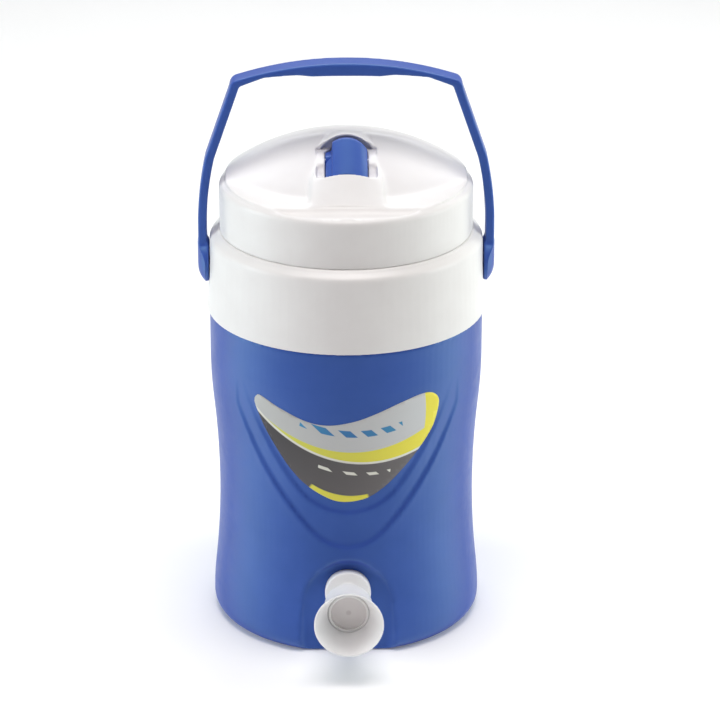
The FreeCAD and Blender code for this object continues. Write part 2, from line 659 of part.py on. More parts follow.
def tap_recess(label, wall):
    """The arched recess for the tap, grown by a wall so that the flat keeps its thickness."""
    sections = []
    for spread, depth in ((0, FACET - wall), (S.recess_bevel, RECESS_LIP - wall)):
        half = S.recess_half + spread + wall
        sections.append((arch(half, -RECESS_LIP, ARCH_CENTRE), depth))
    far_half = S.recess_half + S.recess_bevel + wall
    far_arch = arch(far_half, -RECESS_LIP, ARCH_CENTRE)
    bevel = lofted(label + "_bevel", "XZ_Plane", sections)
    beyond = padded(label + "_beyond", "XZ_Plane", far_arch, S.shell_wall * 10, RECESS_LIP - wall)
    return fused(label, bevel, beyond)


def arch(half, bottom, centre):
    """A round arch of a half width, with its straight sides running down to the bottom."""
    outline = Outline(half, bottom)
    outline.line(half, centre)
    outline.arc(0, centre + half, half, "left")
    outline.arc(-half, centre, half, "left")
    outline.line(-half, bottom)
    return outline.close()


def chevron(half, knee, tip, tip_half, tip_rise, curve, top):
    """A V with a rounded tip and bowed sides, open at the top."""
    tip_radius = (tip_half * tip_half + tip_rise * tip_rise) / (2 * tip_rise)
    outline = Outline(-tip_half, tip + tip_rise)
    outline.arc(tip_half, tip + tip_rise, tip_radius, "left")
    outline.arc(half, knee, curve, "left")
    outline.line(half, top)
    outline.line(-half, top)
    outline.line(-half, knee)
    return outline.close((curve, "left"))


def panel_ring(label, waist_depth, chest_depth):
    """Everything outside a sunk panel's surface, as a ring; the panel runs out at its top."""
    beyond = COLLAR_RADIUS + S.shell_wall
    waist_radius = WAIST_RADIUS - waist_depth
    chest_radius = CHEST_RADIUS - chest_depth
    lower_bend = arc_radius(WAIST - S.foot_height, FOOT_END_RADIUS - WAIST_RADIUS)
    below = WAIST - PANEL_START
    foot_radius = waist_radius + lower_bend - other_leg(lower_bend, below)
    upper_bend = arc_radius(CHEST - WAIST, chest_radius - waist_radius)
    last_bend = arc_radius(PANEL_END - CHEST, PANEL_TOP_RADIUS - chest_radius)
    outline = Outline(beyond, PANEL_START)
    outline.line(beyond, PANEL_END)
    outline.line(PANEL_TOP_RADIUS, PANEL_END)
    outline.arc(chest_radius, CHEST, last_bend, "right")
    outline.arc(waist_radius, WAIST, upper_bend, "left")
    outline.arc(foot_radius, PANEL_START, lower_bend, "left")
    return turned(label, outline.close())


def relief(label, ring, outline):
    """The part of a ring that lies behind a chevron on the jug's front."""
    prism = padded(label + "_prism", "XZ_Plane", outline, COLLAR_RADIUS + S.shell_wall)
    return shared(label, ring, prism)


def outer_shell():
    outline = Outline(0, 0)
    outline.line(S.base_pad_radius, 0)
    outline.line(S.base_pad_radius, S.base_relief)
    outline.line(BASE_RING_RADIUS, S.base_relief)
    outline.line(BASE_RING_RADIUS, 0)
    outline.line(FOOT_RADIUS - S.foot_round, 0)
    outline.arc(FOOT_RADIUS, S.foot_round, S.foot_round, "left")
    waisted_side(outline, 0, TOP_RADIUS)
    outline.line(TOP_RADIUS, SHELL_TOP)
    outline.line(SPIGOT_RADIUS, SHELL_TOP)
    outline.line(SPIGOT_RADIUS, SPIGOT_TOP)
    outline.line(0, SPIGOT_TOP)
    blank = turned("shell_blank", outline.close())
    outer_v = chevron(S.chevron_half, CHEVRON_KNEE, S.chevron_tip, S.chevron_tip_half,
                      S.chevron_tip_rise, S.chevron_curve, SHELL_TOP)
    inner_v = chevron(S.inlay_half, INLAY_KNEE, INLAY_TIP, S.inlay_tip_half,
                      S.inlay_tip_rise, S.chevron_curve, SHELL_TOP)
    panel = relief("panel", panel_ring("panel_ring", S.panel_depth, S.panel_chest_depth), outer_v)
    inlay = relief("inlay", panel_ring("inlay_ring", S.inlay_depth, S.inlay_chest_depth), inner_v)
    tap_hole = rod("shell_tap_hole", S.stem_radius + S.hole_play, FOOT_RADIUS - BOSS_PAD,
                   (0, -FOOT_RADIUS, S.tap_height), "y")
    fill_hole = rod("shell_fill_hole", S.plug_radius, S.foot_round, (0, PLUG_OFFSET, 0))
    node("outer_shell", cut("shell", blank, shell_space("shell_room", 0), panel, inlay,
                            tap_recess("recess", 0), tap_hole, fill_hole))


def foam_plug():
    """The plug that closes the hole through which the wall is foamed."""
    length = S.shell_wall - S.base_relief
    node("foam_plug", rod("plug", S.plug_radius - S.touch_gap, length,
                          (0, PLUG_OFFSET, S.base_relief)))


def body_foam():
    """Foam between shell and liner, up into the collar, left out where the tap's flat is thin."""
    gap = S.fit_gap
    room = shell_space("foam_room", gap)
    bore = SHELL_BORE - gap
    top = COLLAR_TOP - S.collar_wall
    upper = Outline(NECK_RADIUS + gap, NECK_BOTTOM - gap)
    upper.line(NECK_RADIUS + gap, top)
    upper.line(bore, top)
    upper.line(bore, SHELL_TOP)
    upper.line(0, SHELL_TOP)
    upper.line(0, NECK_BOTTOM - gap)
    foam = fused("foam_blank", room, turned("foam_upper", upper.close()))
    well = liner_form("foam_well", LINER_OUTER + gap, LINER_BOTTOM - gap, S.liner_round + S.liner_wall,
                      NECK_TOP)
    half = BOSS_PAD_RADIUS
    window_top = ARCH_CENTRE + S.recess_half
    window = block("foam_window", (-half, -FOOT_RADIUS, 0), (half, -S.liner_radius, window_top))
    pad = rod("foam_pad", BOSS_PAD_RADIUS + gap, FOOT_RADIUS - BOSS_PAD,
              (0, -FOOT_RADIUS, S.tap_height), "y")
    node("body_foam", cut("foam", foam, well, window, pad))


# ---------------------------------------------------------------- liner and collar


def liner_form(label, radius, floor, rounding, top):
    """A round pot, solid, with a rounded lower edge."""
    outline = Outline(0, floor)
    outline.line(radius - rounding, floor)
    outline.arc(radius, floor + rounding, rounding, "left")
    outline.line(radius, top)
    outline.line(0, top)
    return turned(label, outline.close())


def inner_liner():
    """The food-safe pot, with a flange over the neck and a thick flat pad for the tap."""
    pot = liner_form("liner_pot", LINER_OUTER, LINER_BOTTOM, S.liner_round + S.liner_wall, RIM_TOP)
    flange = rod("liner_flange", NECK_RADIUS, S.rim_thickness, (0, 0, NECK_TOP))
    room = liner_form("liner_room", S.liner_radius, S.liner_floor, S.liner_round,
                      RIM_TOP + S.liner_wall)
    pad = rod("liner_pad", BOSS_PAD_RADIUS, FACET - S.shell_wall - BOSS_PAD,
              (0, S.shell_wall - FACET, S.tap_height), "y")
    hole = rod("liner_tap_hole", S.stem_radius + S.hole_play, FACET - STEM_END,
               (0, -FACET, S.tap_height), "y")
    hollow = cut("liner_hollow", fused("liner_outside", pot, flange), room)
    node("inner_liner", cut("liner", fused("liner_padded", hollow, pad), hole))


def lugs(label, radius_in, radius_out, middle):
    """The starts of the lid's thread: short ramps on a ring, all rising at the thread's lead."""
    slope = math.degrees(math.atan2(S.thread_lead.value, 2 * math.pi * NECK_RADIUS.value))
    tilt = FreeCAD.Rotation(FreeCAD.Vector(1, 0, 0), slope)
    ramps = []
    for index in range(int(S.lug_count.value)):
        ramp = DOC.addObject("Part::Box", "%s_ramp%d" % (label, index))
        bind(ramp, "Length", SKIRT_RADIUS)
        bind(ramp, "Width", S.lug_length)
        bind(ramp, "Height", S.lug_height)
        corner = FreeCAD.Vector(0, -S.lug_length.value / 2, -S.lug_height.value / 2)
        about = FreeCAD.Rotation(FreeCAD.Vector(0, 0, 1), 360 * index / S.lug_count.value)
        spot = FreeCAD.Placement(FreeCAD.Vector(0, 0, middle.value), about.multiply(tilt))
        ramp.Placement = spot.multiply(FreeCAD.Placement(corner, FreeCAD.Rotation()))
        ramps.append(ramp)
    reach = S.lug_length + S.lug_height
    low = middle - reach / 2
    ring = cut(label + "_ring", rod(label + "_outside", radius_out, reach, (0, 0, low)),
               rod(label + "_inside", radius_in, reach, (0, 0, low)))
    return shared(label, ring, fused(label + "_ramps", *ramps))


def collar():
    """The white ring that joins shell and liner, with the threaded neck and the handle's studs."""
    bore = SHELL_BORE + S.fit_gap
    inner_top = COLLAR_TOP - S.touch_gap
    under_ledge = LEDGE - S.collar_wall
    shoulder_radius = COLLAR_TOP_RADIUS - S.collar_round / 2
    shoulder = COLLAR_TOP + other_leg(S.collar_round, S.collar_round / 2)
    outline = Outline(COLLAR_BORE, SHELL_TOP)
    outline.line(COLLAR_RADIUS, SHELL_TOP)
    outline.line(COLLAR_TOP_RADIUS, COLLAR_TOP)
    outline.arc(shoulder_radius, shoulder, S.collar_round, "left")
    outline.line(LEDGE_RADIUS, LEDGE)
    outline.line(NECK_RADIUS, LEDGE)
    outline.line(NECK_RADIUS, NECK_TOP)
    outline.line(NECK_BORE, NECK_TOP)
    outline.line(NECK_BORE, NECK_BOTTOM)
    outline.line(NECK_RADIUS, NECK_BOTTOM)
    outline.line(NECK_RADIUS, under_ledge)
    outline.line(LEDGE_RADIUS - S.collar_wall / 2, under_ledge)
    outline.line(bore, inner_top)
    outline.line(bore, SPIGOT_TOP + S.fit_gap)
    outline.line(COLLAR_BORE, SPIGOT_TOP + S.fit_gap)
    ring = turned("collar_ring", outline.close())
    starts = lugs("neck_lugs", NECK_RADIUS - S.touch_gap, NECK_RADIUS + S.lug_depth, LUG_MIDDLE)
    seat_radius = S.boss_radius + S.seat_margin
    seats = []
    studs = []
    seat_depth = STUD_END - BOSS_SEAT
    root_end = BOSS_SEAT - S.collar_wall / 2
    for side, seat_start, stud_start in (("right", BOSS_SEAT, root_end),
                                         ("left", -STUD_END, -STUD_END)):
        seats.append(rod("seat_" + side, seat_radius, seat_depth, (seat_start, 0, PIVOT_HEIGHT), "x"))
        studs.append(rod("stud_" + side, S.stud_radius, STUD_END - root_end,
                         (stud_start, 0, PIVOT_HEIGHT), "x"))
    flats = cut("collar_flats", fused("collar_threaded", ring, starts), *seats)
    node("collar", fused("collar", flats, *studs))


def label():
    """A thin printed film on the inner panel."""
    under = S.touch_gap
    over = S.touch_gap + S.label_thickness
    film = cut("film", panel_ring("film_inner", S.inlay_depth - under, S.inlay_chest_depth - under),
               panel_ring("film_outer", S.inlay_depth - over, S.inlay_chest_depth - over))
    half = S.inlay_half - S.label_margin
    flank_half = S.inlay_tip_half + S.label_flank_spread
    flank = INLAY_TIP + S.label_flank
    wing_low = INLAY_TIP + S.label_wing_low
    wing_top = INLAY_TIP + S.label_wing_top
    tip = half - S.label_tip_round / 2
    top_bend = arc_radius(tip, S.label_wing_top - S.label_top)
    outline = Outline(-flank_half, flank)
    outline.arc(flank_half, flank, arc_radius(flank_half, S.label_flank - S.label_low), "left")
    outline.arc(half, wing_low, S.label_flank_curve, "left")
    outline.arc(tip, wing_top, S.label_tip_round, "left")
    outline.arc(-tip, wing_top, top_bend, "right")
    outline.arc(-half, wing_low, S.label_tip_round, "left")
    outline.close((S.label_flank_curve, "left"))
    shape = padded("label_shape", "XZ_Plane", outline, COLLAR_RADIUS)
    node("label", shared("label", film, shape))


# ---------------------------------------------------------------- handle


def handle():
    """The bail: two arms that lean in, an arched grip and a boss on each pivot."""
    inner = ARM_OUTER - S.arm_thickness
    bend = arc_radius(S.bend_rise, S.bend_reach)
    top_radius = arc_radius(GRIP_END, S.grip_rise)
    palm_end = GRIP_TOP - S.grip_thickness - S.palm_rise
    palm_radius = arc_radius(S.palm_half, S.palm_rise)
    lean = S.lean_reach / S.lean_rise
    level_thickness = S.arm_thickness * root(1 + lean * lean)
    bend_inner = BEND_OUTER - level_thickness
    elbow_low = ELBOW_HEIGHT + S.elbow_rise / 4
    elbow_inner = bend_inner - lean * (elbow_low - BEND_END)
    outline = Outline(ARM_OUTER, PIVOT_HEIGHT)
    outline.line(ARM_OUTER, BEND_START)
    outline.arc(BEND_OUTER, BEND_END, bend, "left")
    outline.line(ELBOW_OUTER, ELBOW_HEIGHT)
    outline.arc(GRIP_END, GRIP_END_HEIGHT, S.elbow_round, "left")
    outline.arc(-GRIP_END, GRIP_END_HEIGHT, top_radius, "left")
    outline.arc(-ELBOW_OUTER, ELBOW_HEIGHT, S.elbow_round, "left")
    outline.line(-BEND_OUTER, BEND_END)
    outline.arc(-ARM_OUTER, BEND_START, bend, "left")
    outline.line(-ARM_OUTER, PIVOT_HEIGHT)
    outline.line(-inner, PIVOT_HEIGHT)
    outline.line(-inner, BEND_START)
    outline.arc(-bend_inner, BEND_END, bend, "right")
    outline.line(-elbow_inner, elbow_low)
    outline.line(-S.palm_half, palm_end)
    outline.arc(S.palm_half, palm_end, palm_radius, "right")
    outline.line(elbow_inner, elbow_low)
    outline.line(bend_inner, BEND_END)
    outline.arc(inner, BEND_START, bend, "right")
    outline.line(inner, PIVOT_HEIGHT)
    strap = padded("strap", "XZ_Plane", outline.close(), S.strap_width, both_ways=True)
    bore_depth = STUD_END + S.move_gap - BOSS_INNER
    bosses = []
    bores = []
    for side, boss_start, bore_start in (("right", BOSS_INNER, BOSS_INNER),
                                         ("left", -BOSS_OUTER, -STUD_END - S.move_gap)):
        bosses.append(rod("boss_" + side, S.boss_radius, S.boss_thickness,
                          (boss_start, 0, PIVOT_HEIGHT), "x"))
        bores.append(rod("bore_" + side, S.stud_radius + S.running_gap, bore_depth,
                         (bore_start, 0, PIVOT_HEIGHT), "x"))
    node("handle", cut("bail", fused("bail_blank", strap, *bosses), *bores))


# ---------------------------------------------------------------- lid


def dome_height(radius, sphere):
    """Height of a dome of the lid's centre of curvature, at a distance from the axis."""
    return CROWN - S.dome_sphere + other_leg(sphere, radius)


def shelf_cutter(label, inset):
    """What is cleared above the front shelf: all that lies over a slope that rises behind it."""
    level = SHELF - inset
    steepness = S.shelf_rise / S.shelf_sweep
    stretch = root(1 + steepness * steepness)
    sweep = S.shelf_sweep - inset * (stretch - 1) / steepness
    reach = COLLAR_RADIUS + S.collar_wall
    height = HOOD_HEIGHT - SHELF
    air = block(label + "_air", (-reach, -reach, level), (reach, reach, level + height))
    kept = cone(label + "_kept", sweep, sweep - height / steepness, height, (0, S.shelf_offset, level))
    return cut(label, air, kept)


def cove_cutter(label, inset):
    """The crescent hollow behind the rim, at the front."""
    length = SKIRT_RADIUS * 2
    trough = rod(label + "_trough", S.cove_radius + inset, length,
                 (-SKIRT_RADIUS, -COVE_DEPTH, COVE_HEIGHT), "x")
    limit = rod(label + "_limit", COVE_RIM, SKIRT_RADIUS, (0, 0, PLUG_FLOOR))
    return shared(label, trough, limit)


def hump_section(half, base, side, arch_height):
    """A flat-bottomed section with an arched top."""
    radius = (half * half + arch_height * arch_height) / (2 * arch_height)
    outline = Outline(-half, base)
    outline.line(half, base)
    outline.line(half, side)
    outline.arc(-half, side, radius, "left")
    return outline.close()


def hump():
    """The arched bar over the lid, rising from the front edge to the hood and fading behind it."""
    base = SHELF - S.lid_wall
    profile = ((S.hump_width, HUMP_FRONT_HEIGHT, S.hump_front_arch, HUMP_FRONT),
               (S.hump_width, BROW_HEIGHT, S.brow_arch, BROW),
               (S.hood_width, HOOD_HEIGHT, S.hood_arch, -HOOD_FACE),
               (S.hump_width, HUMP_BACK_HEIGHT, S.hump_back_arch, -S.hump_back))
    sections = []
    for width, top, arch_height, depth in profile:
        sections.append((hump_section(width / 2, base, top - arch_height, arch_height), depth))
    return lofted("hump", "XZ_Plane", sections)


def pourer_well(label, growth):
    """The pocket that the pourer lies in: a slot with a ball socket at its back."""
    half = WELL_WIDTH / 2 + growth
    reach = S.pourer_reach + S.move_gap + growth
    floor = WELL_FLOOR - growth
    drop = PIN_HEIGHT - floor
    sky = HOOD_HEIGHT + S.pourer_ball
    outline = Outline(HOOD_FACE + growth, floor)
    outline.line(HOOD_FACE + growth, sky)
    outline.line(-S.pourer_depth - reach, sky)
    outline.line(-S.pourer_depth - reach, PIN_HEIGHT)
    outline.arc(-S.pourer_depth - other_leg(reach, drop), floor, reach, "left")
    slot = padded(label + "_slot", "YZ_Plane", outline.close(), 2 * half, both_ways=True)
    socket_ball = ball(label + "_ball", S.pourer_ball + S.move_gap + growth,
                       (0, -S.pourer_depth, PIN_HEIGHT))
    side = S.pourer_ball * 2 + growth
    slab = block(label + "_slab", (-half, -side, PIN_HEIGHT - side),
                 (half, side, PIN_HEIGHT + side))
    return fused(label, slot, shared(label + "_socket", socket_ball, slab))


def cheeks_cutter(label, growth):
    """What is cleared above the cheeks on both sides of the pourer."""
    sky = HOOD_HEIGHT + S.pourer_ball
    outline = Outline(-BROW - growth, CHEEK_FRONT - growth)
    outline.line(HOOD_FACE + growth, CHEEK_BACK - growth)
    outline.line(HOOD_FACE + growth, sky)
    outline.line(-BROW - growth, sky)
    width = S.hood_width + 2 * growth
    return padded(label, "YZ_Plane", outline.close(), width, both_ways=True)


def hood_mouth(label, growth):
    """The arched mouth in the hood's face."""
    half = MOUTH_WIDTH / 2 + growth
    low = CHEEK_BACK - growth
    section = hump_section(half, low, low + S.touch_gap, MOUTH_HEIGHT + 2 * growth)
    depth = S.mouth_depth + growth
    return padded(label, "XZ_Plane", section, depth + S.touch_gap, offset=-HOOD_FACE - depth)


def finger_scoops(label, growth):
    return rod(label, S.scoop_radius + growth, SCOOP_WIDTH + 2 * growth,
               (-SCOOP_WIDTH / 2 - growth, -SCOOP_DEPTH, SCOOP_HEIGHT), "x")


def lid_space(label, inset):
    """The hollow of the lid above the plug's flange, drawn in by an inset for the foam."""
    wall = S.lid_wall + inset
    sphere = S.dome_sphere - wall
    radius = SKIRT_BORE - S.lid_wall - inset
    foot = DOME_RADIUS - wall
    outline = Outline(0, CUP_FLANGE_TOP + inset)
    outline.line(radius, CUP_FLANGE_TOP + inset)
    outline.line(radius, RIM_HEIGHT - wall)
    outline.line(foot, dome_height(foot, sphere) - inset)
    outline.arc(0, CROWN - wall, sphere, "left")
    room = turned(label + "_dome", outline.close())
    return cut(label, room, shelf_cutter(label + "_shelf", wall), cove_cutter(label + "_cove", wall),
               pourer_well(label + "_well", wall), cheeks_cutter(label + "_cheeks", wall),
               hood_mouth(label + "_mouth", wall), finger_scoops(label + "_scoops", wall))


def lid_shell():
    """The white top: skirt, rim, dome, shelf and hump, with the thread's lugs inside the skirt."""
    outline = Outline(0, SKIRT_BOTTOM)
    outline.line(SKIRT_RADIUS, SKIRT_BOTTOM)
    outline.line(SKIRT_RADIUS, RIM_HEIGHT - S.rim_round)
    outline.arc(SKIRT_RADIUS - S.rim_round, RIM_HEIGHT, S.rim_round, "left")
    outline.line(DOME_RADIUS, dome_height(DOME_RADIUS, S.dome_sphere))
    outline.arc(0, CROWN, S.dome_sphere, "left")
    blank = turned("lid_blank", outline.close())
    top = cut("lid_top", blank, shelf_cutter("lid_shelf", 0),
              cove_cutter("lid_cove", 0))
    bore = rod("lid_bore", SKIRT_BORE, CUP_FLANGE_TOP - SKIRT_BOTTOM, (0, 0, SKIRT_BOTTOM))
    pin_hole = rod("lid_pin_hole", S.pin_radius, PIN_LENGTH,
                   (-PIN_LENGTH / 2, -S.pourer_depth, PIN_HEIGHT), "x")
    tube_hole = rod("lid_tube_hole", S.tube_radius + S.fit_gap, CROWN - PLUG_FLOOR,
                    (0, -TUBE_DEPTH, PLUG_FLOOR))
    crown = cut("lid_crown", fused("lid_humped", top, hump()), lid_space("lid_room", 0),
                bore, pourer_well("lid_well", 0), cheeks_cutter("lid_cheeks", 0),
                hood_mouth("lid_mouth", 0), finger_scoops("lid_scoops", 0),
                pin_hole, tube_hole)
    starts = lugs("lid_lugs", SKIRT_BORE - S.lug_depth, SKIRT_BORE + S.touch_gap,
                  LUG_MIDDLE - S.lug_height - S.lug_gap)
    node("lid_shell", fused("lid", crown, starts))


def lid_cup():
    """The plug that hangs in the neck; its flange is welded under the lid's step."""
    floor_top = PLUG_FLOOR + S.cup_wall
    outline = Outline(0, PLUG_FLOOR)
    outline.line(CUP_RADIUS, PLUG_FLOOR)
    outline.line(CUP_RADIUS, CUP_FLANGE)
    outline.line(SKIRT_BORE - S.fit_gap, CUP_FLANGE)
    outline.line(SKIRT_BORE - S.fit_gap, CUP_FLANGE_TOP)
    outline.line(CUP_RADIUS - S.cup_wall, CUP_FLANGE_TOP)
    outline.line(CUP_RADIUS - S.cup_wall, floor_top)
    outline.line(0, floor_top)
    cup = turned("cup_blank", outline.close())
    hole = rod("cup_hole", S.tube_radius + S.fit_gap, S.cup_wall, (0, -TUBE_DEPTH, PLUG_FLOOR))
    node("lid_cup", cut("cup", cup, hole))


def lid_foam():
    """Foam in the plug and under the dome."""
    gap = S.fit_gap
    radius = CUP_RADIUS - S.cup_wall - gap
    low = PLUG_FLOOR + S.cup_wall + gap
    lower = rod("lid_foam_lower", radius, CUP_FLANGE_TOP + 2 * gap - low, (0, 0, low))
    blank = fused("lid_foam_blank", lid_space("lid_foam_room", gap), lower)
    length = CROWN - PLUG_FLOOR
    tube = rod("lid_foam_tube", S.tube_radius + gap, length, (0, -TUBE_DEPTH, PLUG_FLOOR))
    flange = rod("lid_foam_flange", TUBE_FLANGE + gap, S.tube_wall + S.cup_wall + gap,
                 (0, -TUBE_DEPTH, PLUG_FLOOR))
    node("lid_foam", cut("lid_filling", blank, tube, flange))


def lid_seal():
    """The silicone ring between the neck's rim and the plug's flange."""
    ring = rod("seal_outside", NECK_RADIUS - S.fit_gap, S.seal_thickness, (0, 0, SEAL_BOTTOM))
    hole = rod("seal_inside", CUP_RADIUS + S.fit_gap, S.seal_thickness, (0, 0, SEAL_BOTTOM))
    node("lid_seal", cut("seal", ring, hole))


def pouring_tube():
    """The tube through the lid's foam, from the plug's floor to the lip under the stopper."""
    base = PLUG_FLOOR
    top = WELL_FLOOR + S.tube_lip
    wall = rod("tube_outside", S.tube_radius, top - base, (0, -TUBE_DEPTH, base))
    flange = rod("tube_collar", TUBE_FLANGE, S.tube_wall, (0, -TUBE_DEPTH, base + S.cup_wall))
    bore = rod("tube_bore", TUBE_BORE, top - base, (0, -TUBE_DEPTH, base))
    node("pouring_tube", cut("tube", fused("tube_blank", wall, flange), bore))


def pourer_pin():
    node("pourer_pin", rod("pin", S.pin_radius, PIN_LENGTH,
                           (-PIN_LENGTH / 2, -S.pourer_depth, PIN_HEIGHT), "x"))


# ---------------------------------------------------------------- pourer


def pourer():
    """The blue flip-up cap: a ball-backed tongue on a cross pin, with the stopper under it."""
    half = S.pourer_width / 2
    ball_side = PIN_HEIGHT + other_leg(S.pourer_ball, half)
    ball_arch = PIN_HEIGHT + S.pourer_ball - ball_side
    front_height = BROW_HEIGHT - S.fit_gap
    front_arch = S.brow_arch - S.fit_gap
    sections = ((hump_section(half, POURER_FLOOR, ball_side, ball_arch), S.pourer_depth),
                (hump_section(half, POURER_FLOOR, front_height - front_arch, front_arch),
                 S.pourer_depth + S.pourer_reach))
    tongue = lofted("tongue", "XZ_Plane", sections)
    swing = rod("tongue_swing", S.pourer_reach, S.pourer_width,
                (-half, -S.pourer_depth, PIN_HEIGHT), "x")
    back = ball("pourer_back", S.pourer_ball, (0, -S.pourer_depth, PIN_HEIGHT))
    side = S.pourer_ball * 2
    slab = block("pourer_slab", (-half, -S.pourer_depth, POURER_FLOOR), (half, side, HOOD_HEIGHT))
    blank = fused("pourer_blank", shared("tongue_round", tongue, swing), shared("pourer_drum", back, slab))
    pin_hole = rod("pourer_pin_hole", S.pin_radius + S.running_gap, S.pourer_width,
                   (-half, -S.pourer_depth, PIN_HEIGHT), "x")
    stem_hole = rod("pourer_stem_hole", S.stopper_stem + S.touch_gap, S.stopper_stem_length + S.touch_gap,
                    (0, -TUBE_DEPTH, POURER_FLOOR))
    node("pourer", cut("pourer", blank, pin_hole, stem_hole))


def stopper():
    """The silicone pad that closes the pouring tube."""
    face = WELL_FLOOR + S.tube_lip + S.touch_gap
    pad = rod("stopper_pad", STOPPER_RADIUS, POURER_FLOOR - face, (0, -TUBE_DEPTH, face))
    stem = rod("stopper_stem", S.stopper_stem, S.stopper_stem_length, (0, -TUBE_DEPTH, POURER_FLOOR))
    node("stopper", fused("stopper", pad, stem))


# ---------------------------------------------------------------- tap


def tap_body():
    """Threaded stem, flange, barrel and bell in one moulding, with the spout under the barrel."""
    outer = Outline(0, -STEM_END)
    outer.line(S.stem_radius, -STEM_END)
    outer.line(S.stem_radius, -FLANGE_BACK)
    outer.line(S.flange_radius, -FLANGE_BACK)
    outer.line(S.flange_radius, -FLANGE_FRONT)
    outer.line(S.barrel_radius, -FLANGE_FRONT)
    outer.line(S.barrel_radius, -BARREL_END)
    outer.line(BELL_BACK_RADIUS, -BELL_BACK)
    outer.arc(S.bell_radius, -BELL_FRONT, S.bell_curve, "left")
    outer.line(0, -BELL_FRONT)
    outside = tap_turned("tap_outside", outer.close())
    spout = rod("tap_spout", S.spout_radius, S.spout_length, (0, -SPOUT_DEPTH, SPOUT_END))
    rod_bore = S.rod_radius + S.running_gap
    pocket = S.rod_radius + S.touch_gap + 2 * S.ring_wire + S.touch_gap
    beyond = BELL_FRONT + S.bell_wall
    inner = Outline(0, -STEM_END)
    inner.line(0, -beyond)
    inner.line(S.bell_radius - S.bell_wall, -beyond)
    inner.line(S.bell_radius - S.bell_wall, -BELL_FRONT)
    inner.line(S.button_bore, -BUTTON_FRONT)
    inner.line(S.button_bore, -BUTTON_FLOOR)
    inner.line(pocket, -BUTTON_FLOOR)
    inner.line(pocket, S.ring_pocket - BUTTON_FLOOR)
    inner.line(rod_bore, S.ring_pocket - BUTTON_FLOOR)
    inner.line(rod_bore, -CHAMBER_END)
    inner.line(S.chamber_radius, -CHAMBER_END)
    inner.line(S.chamber_radius, -CHAMBER_START)
    inner.line(S.seat_radius, -CHAMBER_START)
    inner.line(S.seat_radius, -SEAT)
    inner.line(S.inlet_radius, -SEAT)
    inner.line(S.inlet_radius, -STEM_END)
    inside = tap_turned("tap_inside", inner.close())
    bore = rod("tap_spout_bore", S.spout_bore, S.spout_length, (0, -SPOUT_DEPTH, SPOUT_END))
    node("tap_body", cut("tap", fused("tap_blank", outside, spout), inside, bore))


def tap_ring(name, outer, inner, far, thickness):
    """A flat ring on the tap's axis; `far` is the distance of its outer face from the jug's axis."""
    disc = rod(name + "_disc", outer, thickness, (0, -far, S.tap_height), "y")
    hole = rod(name + "_hole", inner, thickness, (0, -far, S.tap_height), "y")
    node(name, cut(name + "_ring", disc, hole))


def tap_fasteners():
    """The two gaskets and the nut that clamp the tap to the wall."""
    hole = S.stem_radius + S.fit_gap
    tap_ring("tap_outer_gasket", S.flange_radius - S.fit_gap, hole, FLANGE_BACK,
             S.gasket_thickness)
    tap_ring("tap_inner_gasket", S.inner_gasket_radius, hole, BOSS_PAD, S.inner_gasket_thickness)
    nut = DOC.addObject("Part::Prism", "nut_hexagon")
    nut.Polygon = 6
    bind(nut, "Circumradius", S.nut_width / math.sqrt(3))
    bind(nut, "Height", S.nut_thickness)
    place(nut, (0, -NUT_FACE, S.tap_height), TOWARDS["y"])
    thread = rod("nut_thread", S.stem_radius + S.touch_gap, S.nut_thickness,
                 (0, -NUT_FACE, S.tap_height), "y")
    node("tap_nut", cut("nut", nut, thread))


def tap_button():
    """The push button, one moulding with the rod that carries the valve."""
    edge = S.button_bore - S.button_play
    skirt = BUTTON_FRONT - S.button_skirt
    shoulder = SEAT + S.touch_gap
    outline = Outline(0, -BUTTON_DISH)
    outline.line(0, -ROD_TIP)
    outline.line(S.rod_tip_radius, -ROD_TIP)
    outline.line(S.rod_tip_radius, -shoulder)
    outline.line(S.rod_radius, -shoulder)
    outline.line(S.rod_radius, -BUTTON_BACK)
    outline.line(edge - S.button_edge, -BUTTON_BACK)
    outline.line(edge - S.button_edge, -skirt)
    outline.line(edge, -skirt)
    outline.line(edge, -BUTTON_FRONT)
    outline.line(edge - S.button_edge, -BUTTON_FRONT)
    outline.line(edge - S.button_edge, -BUTTON_DISH)
    node("tap_button", tap_turned("button", outline.close()))


def valve():
    """The rubber disc that shuts the seat, and the clip washer that holds it on the rod."""
    bore = S.rod_tip_radius + S.touch_gap
    tap_ring("valve_disc", S.valve_radius, bore, VALVE_FACE, S.valve_thickness)
    tap_ring("valve_washer", S.washer_radius, bore, VALVE_BACK, S.washer_thickness)


def rod_seal():
    ring = DOC.addObject("Part::Torus", "rod_ring")
    bind(ring, "Radius1", S.rod_radius + S.touch_gap + S.ring_wire)
    bind(ring, "Radius2", S.ring_wire)
    place(ring, (0, S.ring_wire + S.touch_gap - BUTTON_FLOOR, S.tap_height), TOWARDS["y"])
    node("rod_seal", ring)


def tap_spring():
    """The coil spring behind the button."""
    start = BUTTON_FLOOR + S.touch_gap + S.spring_wire
    height = BUTTON_BACK - S.touch_gap - S.spring_wire - start
    coil = DOC.addObject("Part::Helix", "spring_coil")
    bind(coil, "Radius", S.spring_radius)
    bind(coil, "Height", height)
    bind(coil, "Pitch", height / S.spring_turns)
    body = DOC.addObject("PartDesign::Body", "spring_section")
    sketch = sketch_in(body, "XZ_Plane", Wire(S.spring_radius, S.spring_wire), "spring_wire")
    sweep = DOC.addObject("Part::Sweep", "spring_sweep")
    sweep.Sections = [sketch]
    sweep.Spine = (coil, ["Edge1"])
    sweep.Solid = True
    sweep.Frenet = True
    place(sweep, (0, -start - height, S.tap_height), TOWARDS["y"])
    node("tap_spring", sweep)


